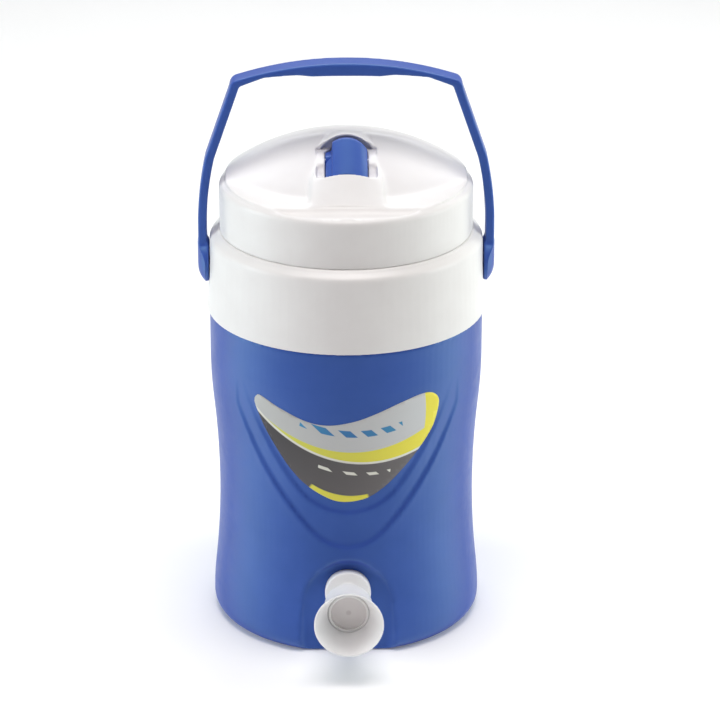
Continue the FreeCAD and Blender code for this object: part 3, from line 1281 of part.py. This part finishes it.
class Wire:
    """A round section at a distance from the axis."""

    def __init__(self, distance, radius):
        self.distance = distance
        self.radius = radius

    def draw(self, sketch):
        centre = FreeCAD.Vector(self.distance.value, 0, 0)
        circle = Part.Circle(centre, FreeCAD.Vector(0, 0, 1), self.radius.value)
        geometry = sketch.addGeometry(circle, False)
        tie(sketch, "DistanceX", geometry, 3, self.distance)
        sketch.addConstraint(Sketcher.Constraint("PointOnObject", geometry, 3, -1))
        index = sketch.addConstraint(Sketcher.Constraint("Radius", geometry, self.radius.value))
        sketch.setExpression("Constraints[%d]" % index, self.radius.text)


# ---------------------------------------------------------------- the whole jug


def check_and_write():
    """Stop at any failed object, then write each sub-part to its own file."""
    DOC.recompute()
    for thing in DOC.Objects:
        if "Invalid" in thing.State or "Error" in thing.State:
            raise RuntimeError("%s failed: %s" % (thing.Label, thing.State))
    for thing in NODES:
        shape = thing.Shape
        if shape.isNull() or not shape.isValid() or not shape.Solids:
            raise RuntimeError("%s has no valid solid" % thing.Label)
        print("%-18s solids %d  volume %10.1f mm3" % (thing.Label, len(shape.Solids), shape.Volume))
    os.makedirs("parts", exist_ok=True)
    for thing in NODES:
        thing.Shape.exportStep("parts/%s.step" % thing.Label)


outer_shell()
foam_plug()
inner_liner()
body_foam()
collar()
label()
tap_body()
tap_fasteners()
rod_seal()
tap_spring()
tap_button()
valve()
lid_seal()
lid_shell()
lid_cup()
lid_foam()
pouring_tube()
pourer_pin()
pourer()
stopper()
handle()
check_and_write()
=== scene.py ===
import json
import math
import bpy
import bmesh
import numpy as np
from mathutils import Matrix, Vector
from mathutils.bvhtree import BVHTree


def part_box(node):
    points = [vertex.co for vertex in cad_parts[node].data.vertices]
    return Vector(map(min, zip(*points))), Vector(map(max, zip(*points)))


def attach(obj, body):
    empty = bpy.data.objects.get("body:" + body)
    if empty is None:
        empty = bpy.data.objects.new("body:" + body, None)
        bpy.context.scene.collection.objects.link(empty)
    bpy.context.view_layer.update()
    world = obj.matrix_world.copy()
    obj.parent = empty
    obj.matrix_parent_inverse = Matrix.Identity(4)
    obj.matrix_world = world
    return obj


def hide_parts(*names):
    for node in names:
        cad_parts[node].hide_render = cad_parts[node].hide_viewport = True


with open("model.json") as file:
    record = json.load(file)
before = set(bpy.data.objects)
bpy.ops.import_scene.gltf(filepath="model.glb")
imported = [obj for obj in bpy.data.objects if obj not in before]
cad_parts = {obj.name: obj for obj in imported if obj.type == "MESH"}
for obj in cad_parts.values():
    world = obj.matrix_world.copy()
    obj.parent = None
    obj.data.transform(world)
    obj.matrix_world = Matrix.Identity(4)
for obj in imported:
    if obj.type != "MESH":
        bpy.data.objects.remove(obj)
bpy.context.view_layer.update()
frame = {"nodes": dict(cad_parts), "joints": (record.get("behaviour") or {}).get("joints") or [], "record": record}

# The looks of an insulated drinks jug. The frame is in metres, +Z up, with the tap towards -Y. The places
# below and the functions that reshape a mesh are in millimetres.

MM = 0.001


def joint_height(name):
    """The height of a joint's axis, in millimetres."""
    return next(joint["pos_m"][2] / MM for joint in frame["joints"] if joint["name"] == name)


PIVOT = joint_height("handle_swing")            # height of the handle's pivots
PIN = joint_height("pourer_flip")               # height of the pourer's pin
SHELF = PIN - 13.5                              # height of the lid's front shelf
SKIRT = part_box("lid_shell")[1][0] / MM          # outside radius of the lid's skirt
SKIRT_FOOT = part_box("lid_shell")[0][2] / MM     # height of the skirt's lower edge
BAIL_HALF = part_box("handle")[1][0] / MM         # half the handle's width, over its bosses
TAP_AXIS = sum(corner[2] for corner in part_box("tap_button")) / 2 / MM    # height of the tap's axis
BUTTON_FACE = 13.0                              # radius that the button's face is drawn to


# ---------------------------------------------------------------- materials

NOISE_LOW, NOISE_HIGH = 0.3, 0.7                # nearly all of a noise lies between these
FRONT_VIEW = (1.0, 0.0, 1.0)                    # leaves y out, so that a pattern is seen straight from -Y


class Look:
    """A node material under construction: a Principled shader and the nodes that feed it."""

    def __init__(self, name):
        self.material = bpy.data.materials.new(name)
        self.material.use_nodes = True
        self.tree = self.material.node_tree
        self.tree.nodes.clear()
        self.shader = self.add("ShaderNodeBsdfPrincipled")
        output = self.add("ShaderNodeOutputMaterial")
        self.tree.links.new(self.shader.outputs[0], output.inputs[0])
        self.place = self.add("ShaderNodeTexCoord").outputs["Object"]

    def add(self, kind, **settings):
        made = self.tree.nodes.new(kind)
        for key, value in settings.items():
            setattr(made, key, value)
        return made

    def join(self, source, target):
        self.tree.links.new(source, target)

    def feed(self, source, socket):
        """Leads a source into one of the shader's sockets."""
        self.join(source, self.shader.inputs[socket])

    def shade(self, **sockets):
        """Sets numbers and colours on the shader's own sockets."""
        for key, value in sockets.items():
            self.shader.inputs[key.replace("_", " ")].default_value = value

    def scaled(self, factors):
        """The object's own coordinates, each times its factor."""
        made = self.add("ShaderNodeMapping")
        made.inputs["Scale"].default_value = factors
        self.join(self.place, made.inputs["Vector"])
        return made.outputs["Vector"]

    def noise(self, scale, detail=2.0, rough=0.5, place=None):
        """Noise of so many waves a metre, over the object's own coordinates or another place."""
        made = self.add("ShaderNodeTexNoise")
        made.inputs["Scale"].default_value = scale
        made.inputs["Detail"].default_value = detail
        made.inputs["Roughness"].default_value = rough
        self.join(self.place if place is None else place, made.inputs["Vector"])
        return made.outputs["Fac"]

    def away(self, place, x, z):
        """Distance in metres from the point at x and z, in millimetres, of a front view."""
        made = self.add("ShaderNodeVectorMath", operation="DISTANCE")
        made.inputs[1].default_value = (x * MM, 0.0, z * MM)
        self.join(place, made.inputs[0])
        return made.outputs["Value"]

    def ramp(self, source, *stops, smooth=False):
        """Colours over a source; each stop is its place from 0 to 1 and its colour."""
        made = self.add("ShaderNodeValToRGB")
        bar = made.color_ramp
        bar.interpolation = "EASE" if smooth else "LINEAR"
        while len(bar.elements) < len(stops):
            bar.elements.new(0.5)
        for element, (at, color) in zip(bar.elements, stops):
            element.position = at
            element.color = (*color, 1.0)
        self.join(source, made.inputs["Fac"])
        return made.outputs["Color"]

    def spread(self, source, low, high, start=0.0, end=1.0):
        """A source's range from start to end, spread over low to high."""
        made = self.add("ShaderNodeMapRange")
        for key, value in zip(("From Min", "From Max", "To Min", "To Max"), (start, end, low, high)):
            made.inputs[key].default_value = value
        self.join(source, made.inputs["Value"])
        return made.outputs["Result"]

    def multiplied(self, product, *factors):
        for factor in factors:
            made = self.add("ShaderNodeMath", operation="MULTIPLY")
            self.join(product, made.inputs[0])
            self.join(factor, made.inputs[1])
            product = made.outputs["Value"]
        return product

    def bump(self, source, depth, strength, below=None):
        """Relief of a depth in metres, on top of the relief below it."""
        made = self.add("ShaderNodeBump")
        made.inputs["Strength"].default_value = strength
        made.inputs["Distance"].default_value = depth
        self.join(source, made.inputs["Height"])
        if below is not None:
            self.join(below, made.inputs["Normal"])
        return made.outputs["Normal"]

    def color_with(self, noise, low, high):
        """The base colour goes from low to high with a noise."""
        self.feed(self.ramp(noise, (NOISE_LOW, low), (NOISE_HIGH, high)), "Base Color")

    def roughness_with(self, noise, low, high):
        self.feed(self.spread(noise, low, high, NOISE_LOW, NOISE_HIGH), "Roughness")

    def translucent(self, weight, depth):
        """Lets light of every colour into the plastic, as deep in metres as given."""
        self.shade(Subsurface_Weight=weight, Subsurface_Radius=(1.0, 1.0, 1.0), Subsurface_Scale=depth)


def moulded(name, low, high, rough, coat):
    """Moulded plastic: faint cloudy colour, gloss that varies, orange peel and a fine matt grain."""
    look = Look(name)
    look.color_with(look.noise(30.0, 3.0, 0.6), low, high)
    look.roughness_with(look.noise(120.0, 4.0, 0.6), rough * 0.88, rough * 1.14)
    peel = look.bump(look.noise(260.0), 0.06 * MM, 0.5)
    grain = look.bump(look.noise(2600.0), 0.01 * MM, 0.35, below=peel)
    look.feed(grain, "Normal")
    look.shade(Coat_Weight=coat, Coat_Roughness=0.22, Specular_IOR_Level=0.4)
    return look


def blue_plastic():
    """Pigmented blue plastic with a cyan gloss, strongest where it is seen at a moderate slant."""
    look = moulded("blue_moulded_plastic", (0.041, 0.089, 0.375), (0.048, 0.100, 0.41), 0.36, 0.0)
    facing = look.add("ShaderNodeLayerWeight").outputs["Facing"]
    straight, slanted, edge = ((level, level, level) for level in (0.4, 0.95, 0.17))
    gloss = look.ramp(facing, (0.12, straight), (0.42, slanted), (0.66, edge), smooth=True)
    look.feed(gloss, "Specular IOR Level")
    look.shade(Specular_Tint=(0.38, 0.76, 0.85, 1.0))
    return look


def white_plastic():
    return moulded("white_moulded_plastic", (0.80, 0.785, 0.775), (0.835, 0.825, 0.815), 0.36, 0.12)


def tap_plastic():
    """The tap's thin white plastic, which lets some light through."""
    look = moulded("white_tap_plastic", (0.93, 0.92, 0.91), (0.96, 0.95, 0.94), 0.32, 0.15)
    look.translucent(0.6, 4.0 * MM)
    return look


def insulating_foam():
    look = Look("insulating_foam")
    cells = look.add("ShaderNodeTexVoronoi")
    cells.inputs["Scale"].default_value = 700.0
    look.join(look.place, cells.inputs["Vector"])
    distance = cells.outputs["Distance"]
    look.feed(look.ramp(distance, (0.0, (0.62, 0.5, 0.28)), (0.5, (0.86, 0.77, 0.52))), "Base Color")
    look.feed(look.bump(distance, 0.6 * MM, 0.6), "Normal")
    look.shade(Roughness=0.9)
    return look


def white_silicone():
    look = Look("white_silicone")
    cloud = look.noise(90.0, 3.0)
    look.color_with(cloud, (0.70, 0.70, 0.67), (0.78, 0.78, 0.75))
    look.roughness_with(cloud, 0.5, 0.62)
    look.feed(look.bump(look.noise(1800.0), 0.02 * MM, 0.5), "Normal")
    return look


def drawn_steel():
    """Steel with fine lines along y, the way it was drawn."""
    look = Look("drawn_steel")
    lines = look.noise(900.0, 3.0, 0.6, place=look.scaled((1.0, 0.08, 1.0)))
    look.color_with(lines, (0.5, 0.51, 0.53), (0.66, 0.67, 0.69))
    look.roughness_with(lines, 0.2, 0.34)
    look.feed(look.bump(lines, 0.02 * MM, 0.4), "Normal")
    look.shade(Metallic=1.0)
    return look


def printed_film():
    """Printed film: a silver field, a gold crescent under it, a dark field and a gold lower edge.

    Every edge of the print is an arc about a centre, given by its x and its height in millimetres.
    """
    look = Look("printed_label_film")
    front = look.scaled(FRONT_VIEW)

    def within(x, z, near, far, soft=0.3):
        """One between two distances from a centre, nought outside them, with soft edges."""
        source = look.away(front, x, z)
        return look.multiplied(look.spread(source, 0.0, 1.0, (near - soft) * MM, near * MM),
                               look.spread(source, 1.0, 0.0, far * MM, (far + soft) * MM))

    def tint(x, z, start, end, low, high):
        """A colour that goes from low to high between two distances from a centre."""
        source = look.away(front, x, z)
        return look.ramp(look.spread(source, 0.0, 1.0, start * MM, end * MM), (0.0, low), (1.0, high))

    def layered(color, mask, over):
        made = look.add("ShaderNodeMix", data_type="RGBA")
        look.join(mask, made.inputs["Factor"])
        look.join(color, made.inputs["A"])
        look.join(over, made.inputs["B"])
        return made.outputs["Result"]

    left_tip = (-60.0, 170.0)
    silver = tint(*left_tip, 20.0, 118.0, (0.50, 0.51, 0.50), (0.62, 0.64, 0.65))
    gold = tint(*left_tip, 20.0, 120.0, (0.62, 0.64, 0.10), (0.88, 0.78, 0.06))
    dark = tint(*left_tip, 20.0, 105.0, (0.05, 0.046, 0.05), (0.15, 0.14, 0.14))
    pale = tint(*left_tip, 0.0, 120.0, (0.70, 0.70, 0.62), (0.80, 0.80, 0.72))
    blue = tint(0.0, 150.0, 0.0, 50.0, (0.03, 0.16, 0.42), (0.05, 0.32, 0.52))

    waves = look.add("ShaderNodeTexWave", bands_direction="DIAGONAL")
    waves.inputs["Scale"].default_value = 46.0
    look.join(front, waves.inputs["Vector"])
    wide_stripes = look.spread(waves.outputs["Fac"], 0.0, 1.0, 0.42, 0.5)
    thin_stripes = look.spread(waves.outputs["Fac"], 0.0, 1.0, 0.5, 0.6)

    crescent = (13.8, 233.0)
    silver_field = look.multiplied(within(4.4, 239.2, 0.0, 95.5), within(-60.0, 168.0, 0.0, 109.5))
    bars = look.multiplied(within(6.0, 262.0, 103.0, 107.5), wide_stripes, within(2.0, 156.0, 0.0, 33.0))
    pale_line = within(*crescent, 97.0, 98.6)
    dark_field = within(*crescent, 98.6, 300.0, soft=0.5)
    dashes = look.multiplied(within(*crescent, 104.5, 106.3), thin_stripes, within(4.0, 130.0, 0.0, 23.0))
    lower_edge = look.multiplied(within(3.0, 162.7, 50.6, 80.0), within(-7.0, 106.0, 0.0, 20.0, soft=1.5))

    color = gold
    for mask, over in ((silver_field, silver), (bars, blue), (pale_line, pale), (dark_field, dark),
                       (dashes, pale), (lower_edge, gold)):
        color = layered(color, mask, over)
    look.feed(color, "Base Color")
    look.roughness_with(look.noise(120.0, 3.0), 0.3, 0.34)
    look.feed(look.bump(look.noise(900.0), 0.01 * MM, 0.4), "Normal")
    look.shade(Coat_Weight=0.12, Coat_Roughness=0.15, Specular_IOR_Level=0.3)
    return look


def button_plastic():
    """White plastic whose recessed disc is painted greyer as painted shade, set into a ring of the plain white,
    and a small gate mark.
    """
    look = Look("button_plastic")
    # The disc's grey is painted shade of its recess. The ring keeps the plastic's own white, and the mark is a
    # gate mark.
    shaded_disc, ring, mark = (0.78, 0.74, 0.735), (0.96, 0.95, 0.94), (0.66, 0.61, 0.61)
    middle = look.away(look.scaled(FRONT_VIEW), 0.0, TAP_AXIS)
    share = look.spread(middle, 0.0, 1.0, 0.0, BUTTON_FACE * MM)
    tone = look.ramp(share, (0.0, mark), (0.09, mark), (0.16, shaded_disc), (0.84, shaded_disc), (0.885, ring), (1.0, ring))
    look.feed(tone, "Base Color")
    look.roughness_with(look.noise(150.0, 3.0), 0.3, 0.42)
    look.feed(look.bump(look.noise(1800.0), 0.01 * MM, 0.4), "Normal")
    look.shade(Coat_Weight=0.1, Specular_IOR_Level=0.4)
    look.translucent(0.4, 3.0 * MM)
    return look


BLUE = blue_plastic()
WHITE = white_plastic()
TAP_WHITE = tap_plastic()
FILM = printed_film()
BUTTON = button_plastic()
BY_SLOT = {"blue_plastic": BLUE, "white_plastic": WHITE, "foam": insulating_foam(), "label_film": FILM,
           "white_rubber": white_silicone(), "spring_steel": drawn_steel()}


def dress_nodes():
    """Gives every CAD node the look of its slot in the record."""
    for part in frame["record"]["subparts"]:
        node = frame["nodes"][part["node"]]
        look = BY_SLOT[part["material_slot"]]
        for at in range(len(node.material_slots)):
            node.material_slots[at].material = look.material
        if not node.material_slots:
            node.data.materials.append(look.material)


# ---------------------------------------------------------------- shaping

def linked(name, data):
    """A new object in the scene."""
    made = bpy.data.objects.new(name, data)
    bpy.context.scene.collection.objects.link(made)
    return made


def piece(name, mesh, body, look, node):
    """Puts a finished mesh into the scene as a piece that stands for a CAD node."""
    made = linked(name, mesh)
    mesh.materials.clear()
    mesh.materials.append(look.material)
    for face in mesh.polygons:
        face.use_smooth = True
    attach(made, body)
    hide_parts(node)


def applied(mesh, kind, **settings):
    """A copy of the mesh with a modifier applied."""
    holder = linked("holder", mesh)
    modifier = holder.modifiers.new(kind, kind)
    for key, value in settings.items():
        setattr(modifier, key, value)
    bpy.context.view_layer.update()
    evaluated = holder.evaluated_get(bpy.context.evaluated_depsgraph_get())
    made = bpy.data.meshes.new_from_object(evaluated)
    bpy.data.objects.remove(holder)
    return made


def points(mesh):
    """The mesh's points in millimetres, a row each."""
    flat = np.empty(len(mesh.vertices) * 3)
    mesh.vertices.foreach_get("co", flat)
    return flat.reshape(-1, 3) / MM


def set_points(mesh, place):
    mesh.vertices.foreach_set("co", (place * MM).ravel())
    mesh.update()


def smoothed(mesh, place, rounds, weight=None):
    """Moves every point half way to the mean of its neighbours, as often as rounds says.

    A weight for each point, from 0 to 1, holds back the points that have little of it.
    """
    edges = np.empty(len(mesh.edges) * 2, int)
    mesh.edges.foreach_get("vertices", edges)
    one, two = edges.reshape(-1, 2).T
    count = np.bincount(np.concatenate((one, two)), minlength=len(place))[:, None]
    share = 0.5 if weight is None else 0.5 * weight[:, None]
    for _ in range(rounds):
        total = np.zeros_like(place)
        for axis in range(3):
            total[:, axis] = (np.bincount(one, place[two, axis], len(place))
                              + np.bincount(two, place[one, axis], len(place)))
        place = place + share * (total / count - place)
    return place


FLOW_ROUNDS = 150       # rounds of smoothing that run the forms of the lid's top together


def softened(node, grain, rounds, reshape=None, flow=None):
    """A moulded copy of a CAD node: even mesh, edges rounded over a few grains, then reshaped."""
    mesh = frame["nodes"][node].data.copy()
    mesh = applied(mesh, "REMESH", mode="VOXEL", voxel_size=grain * MM, adaptivity=0.0)
    place = smoothed(mesh, points(mesh), rounds)
    if flow is not None:
        place = smoothed(mesh, place, FLOW_ROUNDS, flow(place))
    if reshape is not None:
        place = reshape(place)
    set_points(mesh, place)
    return mesh


def eased(value, start, end):
    """Nought before start, one past end, with a soft rise between them."""
    step = np.clip((value - start) / (end - start), 0.0, 1.0)
    return step * step * (3.0 - 2.0 * step)


def fading(value, start, end):
    """One before start, nought past end, with a soft fall between them."""
    return 1.0 - eased(value, start, end)


def lid_flow(place):
    """How freely each point of the lid flows: the pourer's well and the hood's mouth keep their edges."""
    rim_share, scoop_share = 0.55, 0.12
    x, y, z = place.T
    side, depth, reach, rise = np.abs(x), -y, np.hypot(x, y), z - SHELF
    outside_hump = np.maximum(eased(side, 19.0, 27.0), eased(y, 1.0, 8.0))
    top = outside_hump * eased(rise, -0.9, 0.5) * fading(reach, SKIRT - 9.5, SKIRT - 5.0)
    front_rim = (eased(depth, 50.0, 60.0) * eased(rise, -5.0, -3.0)
                 * eased(reach, SKIRT - 8.0, SKIRT - 6.0) * fading(reach, SKIRT - 2.5, SKIRT - 1.0))
    scoops = eased(side, 14.6, 16.5) * eased(depth, 10.0, 14.0) * eased(rise, 5.5, 9.5)
    return np.maximum(top, np.maximum(rim_share * front_rim, scoop_share * scoops))


def lid_form(place):
    """The hood thins to a lip over its mouth."""
    mouth_rise, mouth_radius, thinning = 8.0, 19.6, 0.6
    x, y, z = place.T.copy()
    mouth = SHELF + mouth_rise + np.sqrt(np.clip(mouth_radius ** 2 - x * x, 0.0, None))
    hood = fading(np.abs(x), 12.0, 17.5) * eased(y, -5.0, -3.5) * eased(z - mouth, -0.2, 0.6)
    z = z - thinning * fading(y, -1.0, 12.0) * hood * (z - mouth)
    return np.column_stack((x, y, z))


def collar_form(place):
    """The ledge under the lid's skirt, raised until the parting line is nearly closed."""
    ledge_raise = 0.3
    x, y, z = place.T.copy()
    ledge = eased(z - SKIRT_FOOT, -1.55, -0.75) * eased(np.hypot(x, y), SKIRT - 3.3, SKIRT - 2.5)
    return np.column_stack((x, y, z + ledge_raise * ledge))


def bail_form(place):
    """A palm that swells at the grip's middle, and bosses with a domed outer face."""
    palm_swell, boss_dome, boss_radius = 1.5, 5.0, 14.5
    x, y, z = place.T.copy()
    rise = z - PIVOT
    palm = eased(rise, 116.5, 120.5) * fading(rise, 127.5, 130.5) * fading(np.abs(x), 18.0, 34.0)
    z = z - palm_swell * palm
    below_pivot = np.clip(PIVOT - z, 0.0, None)
    face = BAIL_HALF - boss_dome * (np.hypot(below_pivot, y) / boss_radius) ** 3
    x = np.sign(x) * np.minimum(np.abs(x), face)
    return np.column_stack((x, y, z))


def pourer_form(place):
    """The pourer's top is a barrel with a lower step along its left side, which stays above the pin."""
    cover, front_fall = 3.0, 9.0            # what stays over the pin, and how much lower the front may go
    front_step, back_step = 3.0, 7.0
    x, y, z = place.T.copy()
    bed = PIN + cover - front_fall * fading(y, -16.5, -12.5)
    step = front_step + (back_step - front_step) * eased(y, -17.0, -13.0)
    drop = np.minimum(step, 0.8 * np.clip(z - bed, 0.0, None))
    z = z - drop * fading(x, -9.5, -8.8)
    return np.column_stack((x, y, z))


def deepened(mesh):
    """Draws the front's relief deeper: its points move away from where much smoothing would put them."""
    extra_depth, rounds = 0.9, 90
    place = points(mesh)
    x, y, z = place.T
    relief = eased(-y, 30.0, 45.0) * eased(z, 64.0, 72.0) * fading(z, 216.0, 226.0)
    place = place + extra_depth * relief[:, None] * (place - smoothed(mesh, place, rounds))
    set_points(mesh, place)
    return mesh


# The label's outline: x and height of the knots of a smooth closed line.
LABEL_EDGE = ((-58.0, 175.6), (-55.0, 176.6), (-43.0, 170.9), (-26.0, 164.3), (-12.0, 162.8), (3.7, 165.7),
              (16.4, 170.0), (33.0, 176.3), (46.0, 179.6), (53.5, 178.6), (57.6, 173.6), (57.4, 166.0),
              (53.8, 153.3), (45.0, 139.9), (34.7, 128.0), (23.5, 117.4), (12.6, 110.6), (0.0, 108.0),
              (-11.0, 109.6), (-26.1, 118.0), (-36.3, 128.1), (-44.8, 140.6), (-52.4, 153.7), (-58.2, 168.2),
              (-59.0, 172.6))
FILM_PROUD = 0.3        # how far the label's face stands over the shell
FILM_DEPTH = 0.5        # its thickness, the rest of which is sunk into the shell
FILM_GRID = 3           # distance between the lines that divide it, so that it can bend


def closed_curve(knots, steps=8):
    """A smooth closed line through the knots (Catmull-Rom), with steps points to a stretch."""
    knots = np.array(knots)
    made = []
    for at in range(len(knots)):
        before, start, end, after = (knots[(at + shift) % len(knots)] for shift in (-1, 0, 1, 2))
        for step in range(steps):
            t = step / steps
            made.append(0.5 * (2 * start + (end - before) * t
                               + (2 * before - 5 * start + 4 * end - after) * t * t
                               + (3 * start - before - 3 * end + after) * t ** 3))
    return np.array(made)


def film(shell):
    """The label: a smooth outline laid on the shell's inner panel, with a thin edge all round."""
    outline = closed_curve(LABEL_EDGE)
    bm = bmesh.new()
    bm.faces.new([bm.verts.new((x * MM, 0.0, z * MM)) for x, z in outline])
    for axis, along in ((0, outline[:, 0]), (2, outline[:, 1])):
        first = int(along.min() // FILM_GRID) * FILM_GRID
        for at in range(first, math.ceil(along.max()), FILM_GRID):
            spot, normal = [0.0, 0.0, 0.0], [0.0, 0.0, 0.0]
            spot[axis], normal[axis] = at * MM, 1.0
            bmesh.ops.bisect_plane(bm, geom=bm.verts[:] + bm.edges[:] + bm.faces[:],
                                   plane_co=spot, plane_no=normal, dist=1e-7)
    under = BVHTree.FromPolygons([v.co for v in shell.vertices], [tuple(p.vertices) for p in shell.polygons])
    in_front, backwards = -0.2, Vector((0.0, 1.0, 0.0))
    for vert in bm.verts:
        hit, normal, _, _ = under.ray_cast(Vector((vert.co.x, in_front, vert.co.z)), backwards)
        vert.co = hit + normal * FILM_PROUD * MM
    bmesh.ops.recalc_face_normals(bm, faces=bm.faces[:])
    mesh = bpy.data.meshes.new("film")
    bm.to_mesh(mesh)
    bm.free()
    return applied(mesh, "SOLIDIFY", thickness=FILM_DEPTH * MM, offset=-1.0)


# ---------------------------------------------------------------- stage

def floor():
    """A pale floor that curves up far behind, so it has no edge in view."""
    half, front, back, top = 14.0, -14.0, 5.0, 5.0
    bend, steps = 2.0, 16
    profile = [(front, 0.0), (back - bend, 0.0)]
    for step in range(1, steps + 1):
        turn = math.pi / 2 * step / steps
        profile.append((back - bend + bend * math.sin(turn), bend - bend * math.cos(turn)))
    profile.append((back, top))
    bm = bmesh.new()
    rows = [[bm.verts.new((x, y, z)) for x in (-half, half)] for y, z in profile]
    for one, two in zip(rows, rows[1:]):
        bm.faces.new((one[0], one[1], two[1], two[0])).smooth = True
    mesh = bpy.data.meshes.new("floor")
    bm.to_mesh(mesh)
    bm.free()
    look = Look("pale_floor")
    look.color_with(look.noise(3.0), (0.92, 0.92, 0.92), (0.94, 0.94, 0.94))
    look.shade(Roughness=0.9, Specular_IOR_Level=0.1, Emission_Color=(1.0, 1.0, 1.0, 1.0),
               Emission_Strength=0.10)
    mesh.materials.append(look.material)
    linked("floor", mesh)


JUG_MIDDLE = (0.0, 0.0, 0.18)

# Each soft light: its name, its place, what it points at, its width and height, its watts and its colour.
# They come from both sides, from above and from behind; the front stays darker.
LIGHTS = (
    ("left_side", (-1.3, -0.1, 0.35), JUG_MIDDLE, (0.7, 1.3), 11.5, (0.85, 0.98, 1.0)),
    ("left_front", (-1.1, -0.8, 0.45), JUG_MIDDLE, (0.7, 1.2), 2.2, (1.0, 0.8, 0.82)),
    ("right_side", (1.3, -0.1, 0.35), JUG_MIDDLE, (0.7, 1.3), 11.2, (0.95, 1.0, 0.97)),
    ("right_back", (1.0, 0.75, 0.45), JUG_MIDDLE, (0.8, 1.3), 4.6, (0.95, 1.0, 0.97)),
    ("overhead", (0.0, -0.2, 1.9), JUG_MIDDLE, (1.4, 0.5), 14.5, (1.0, 0.97, 0.96)),
    ("top_back", (0.0, 1.3, 1.6), JUG_MIDDLE, (2.2, 1.2), 15.5, (0.97, 0.99, 1.0)),
    ("top_near", (0.0, -0.55, 1.5), JUG_MIDDLE, (0.7, 0.5), 5.0, (1.0, 0.93, 0.92)),
    ("far_floor", (0.0, 2.6, 2.2), (0.0, 2.8, 0.0), (3.0, 1.6), 27.0, (1.0, 1.0, 1.0)),
)


def area_light(name, place, aim, size, power, color):
    light = bpy.data.lights.new(name, "AREA")
    light.shape = "RECTANGLE"
    light.size, light.size_y = size
    light.energy = power
    light.color = color
    made = linked(name, light)
    made.location = place
    made.rotation_euler = (Vector(aim) - Vector(place)).to_track_quat("-Z", "Y").to_euler()


def studio():
    """The lights, and a faint even light all round."""
    for light in LIGHTS:
        area_light(*light)
    world = bpy.data.worlds.new("studio")
    world.use_nodes = True
    shade = world.node_tree.nodes["Background"]
    shade.inputs["Color"].default_value = (1.0, 1.0, 1.0, 1.0)
    shade.inputs["Strength"].default_value = 0.01
    bpy.context.scene.world = world
    bpy.context.scene.view_settings.view_transform = "Standard"


def camera():
    """A long lens two metres away that looks down on the jug, and stands a little to its left."""
    distance, height = 2.0, 0.9943
    tilt, turn = math.radians(67.655), math.radians(-0.8)
    data = bpy.data.cameras.new("camera")
    data.sensor_width = 36.0
    data.lens = 165.13
    data.shift_x = 0.01925
    data.clip_end = 50.0
    made = linked("camera", data)
    made.location = (distance * math.sin(turn), -distance * math.cos(turn), height)
    made.rotation_euler = (tilt, 0.0, turn)
    bpy.context.scene.camera = made


# ---------------------------------------------------------------- pieces

dress_nodes()
shell = deepened(softened("outer_shell", grain=1.0, rounds=6))
collar = softened("collar", grain=0.7, rounds=5, reshape=collar_form)
lid = softened("lid_shell", grain=0.5, rounds=6, reshape=lid_form, flow=lid_flow)
handle = softened("handle", grain=0.6, rounds=14, reshape=bail_form)
tap = softened("tap_body", grain=0.4, rounds=3)
button = softened("tap_button", grain=0.3, rounds=4)
pourer = softened("pourer", grain=0.4, rounds=5, reshape=pourer_form)

piece("body_shell", shell, "jug", BLUE, "outer_shell")
piece("film", film(shell), "jug", FILM, "label")
piece("collar_ring", collar, "jug", WHITE, "collar")
piece("lid_top", lid, "lid", WHITE, "lid_shell")
piece("bail", handle, "handle", BLUE, "handle")
piece("tap_bell", tap, "jug", TAP_WHITE, "tap_body")
piece("push_button", button, "tap_button", BUTTON, "tap_button")
piece("flip_pourer", pourer, "pourer", BLUE, "pourer")

floor()
studio()
camera()
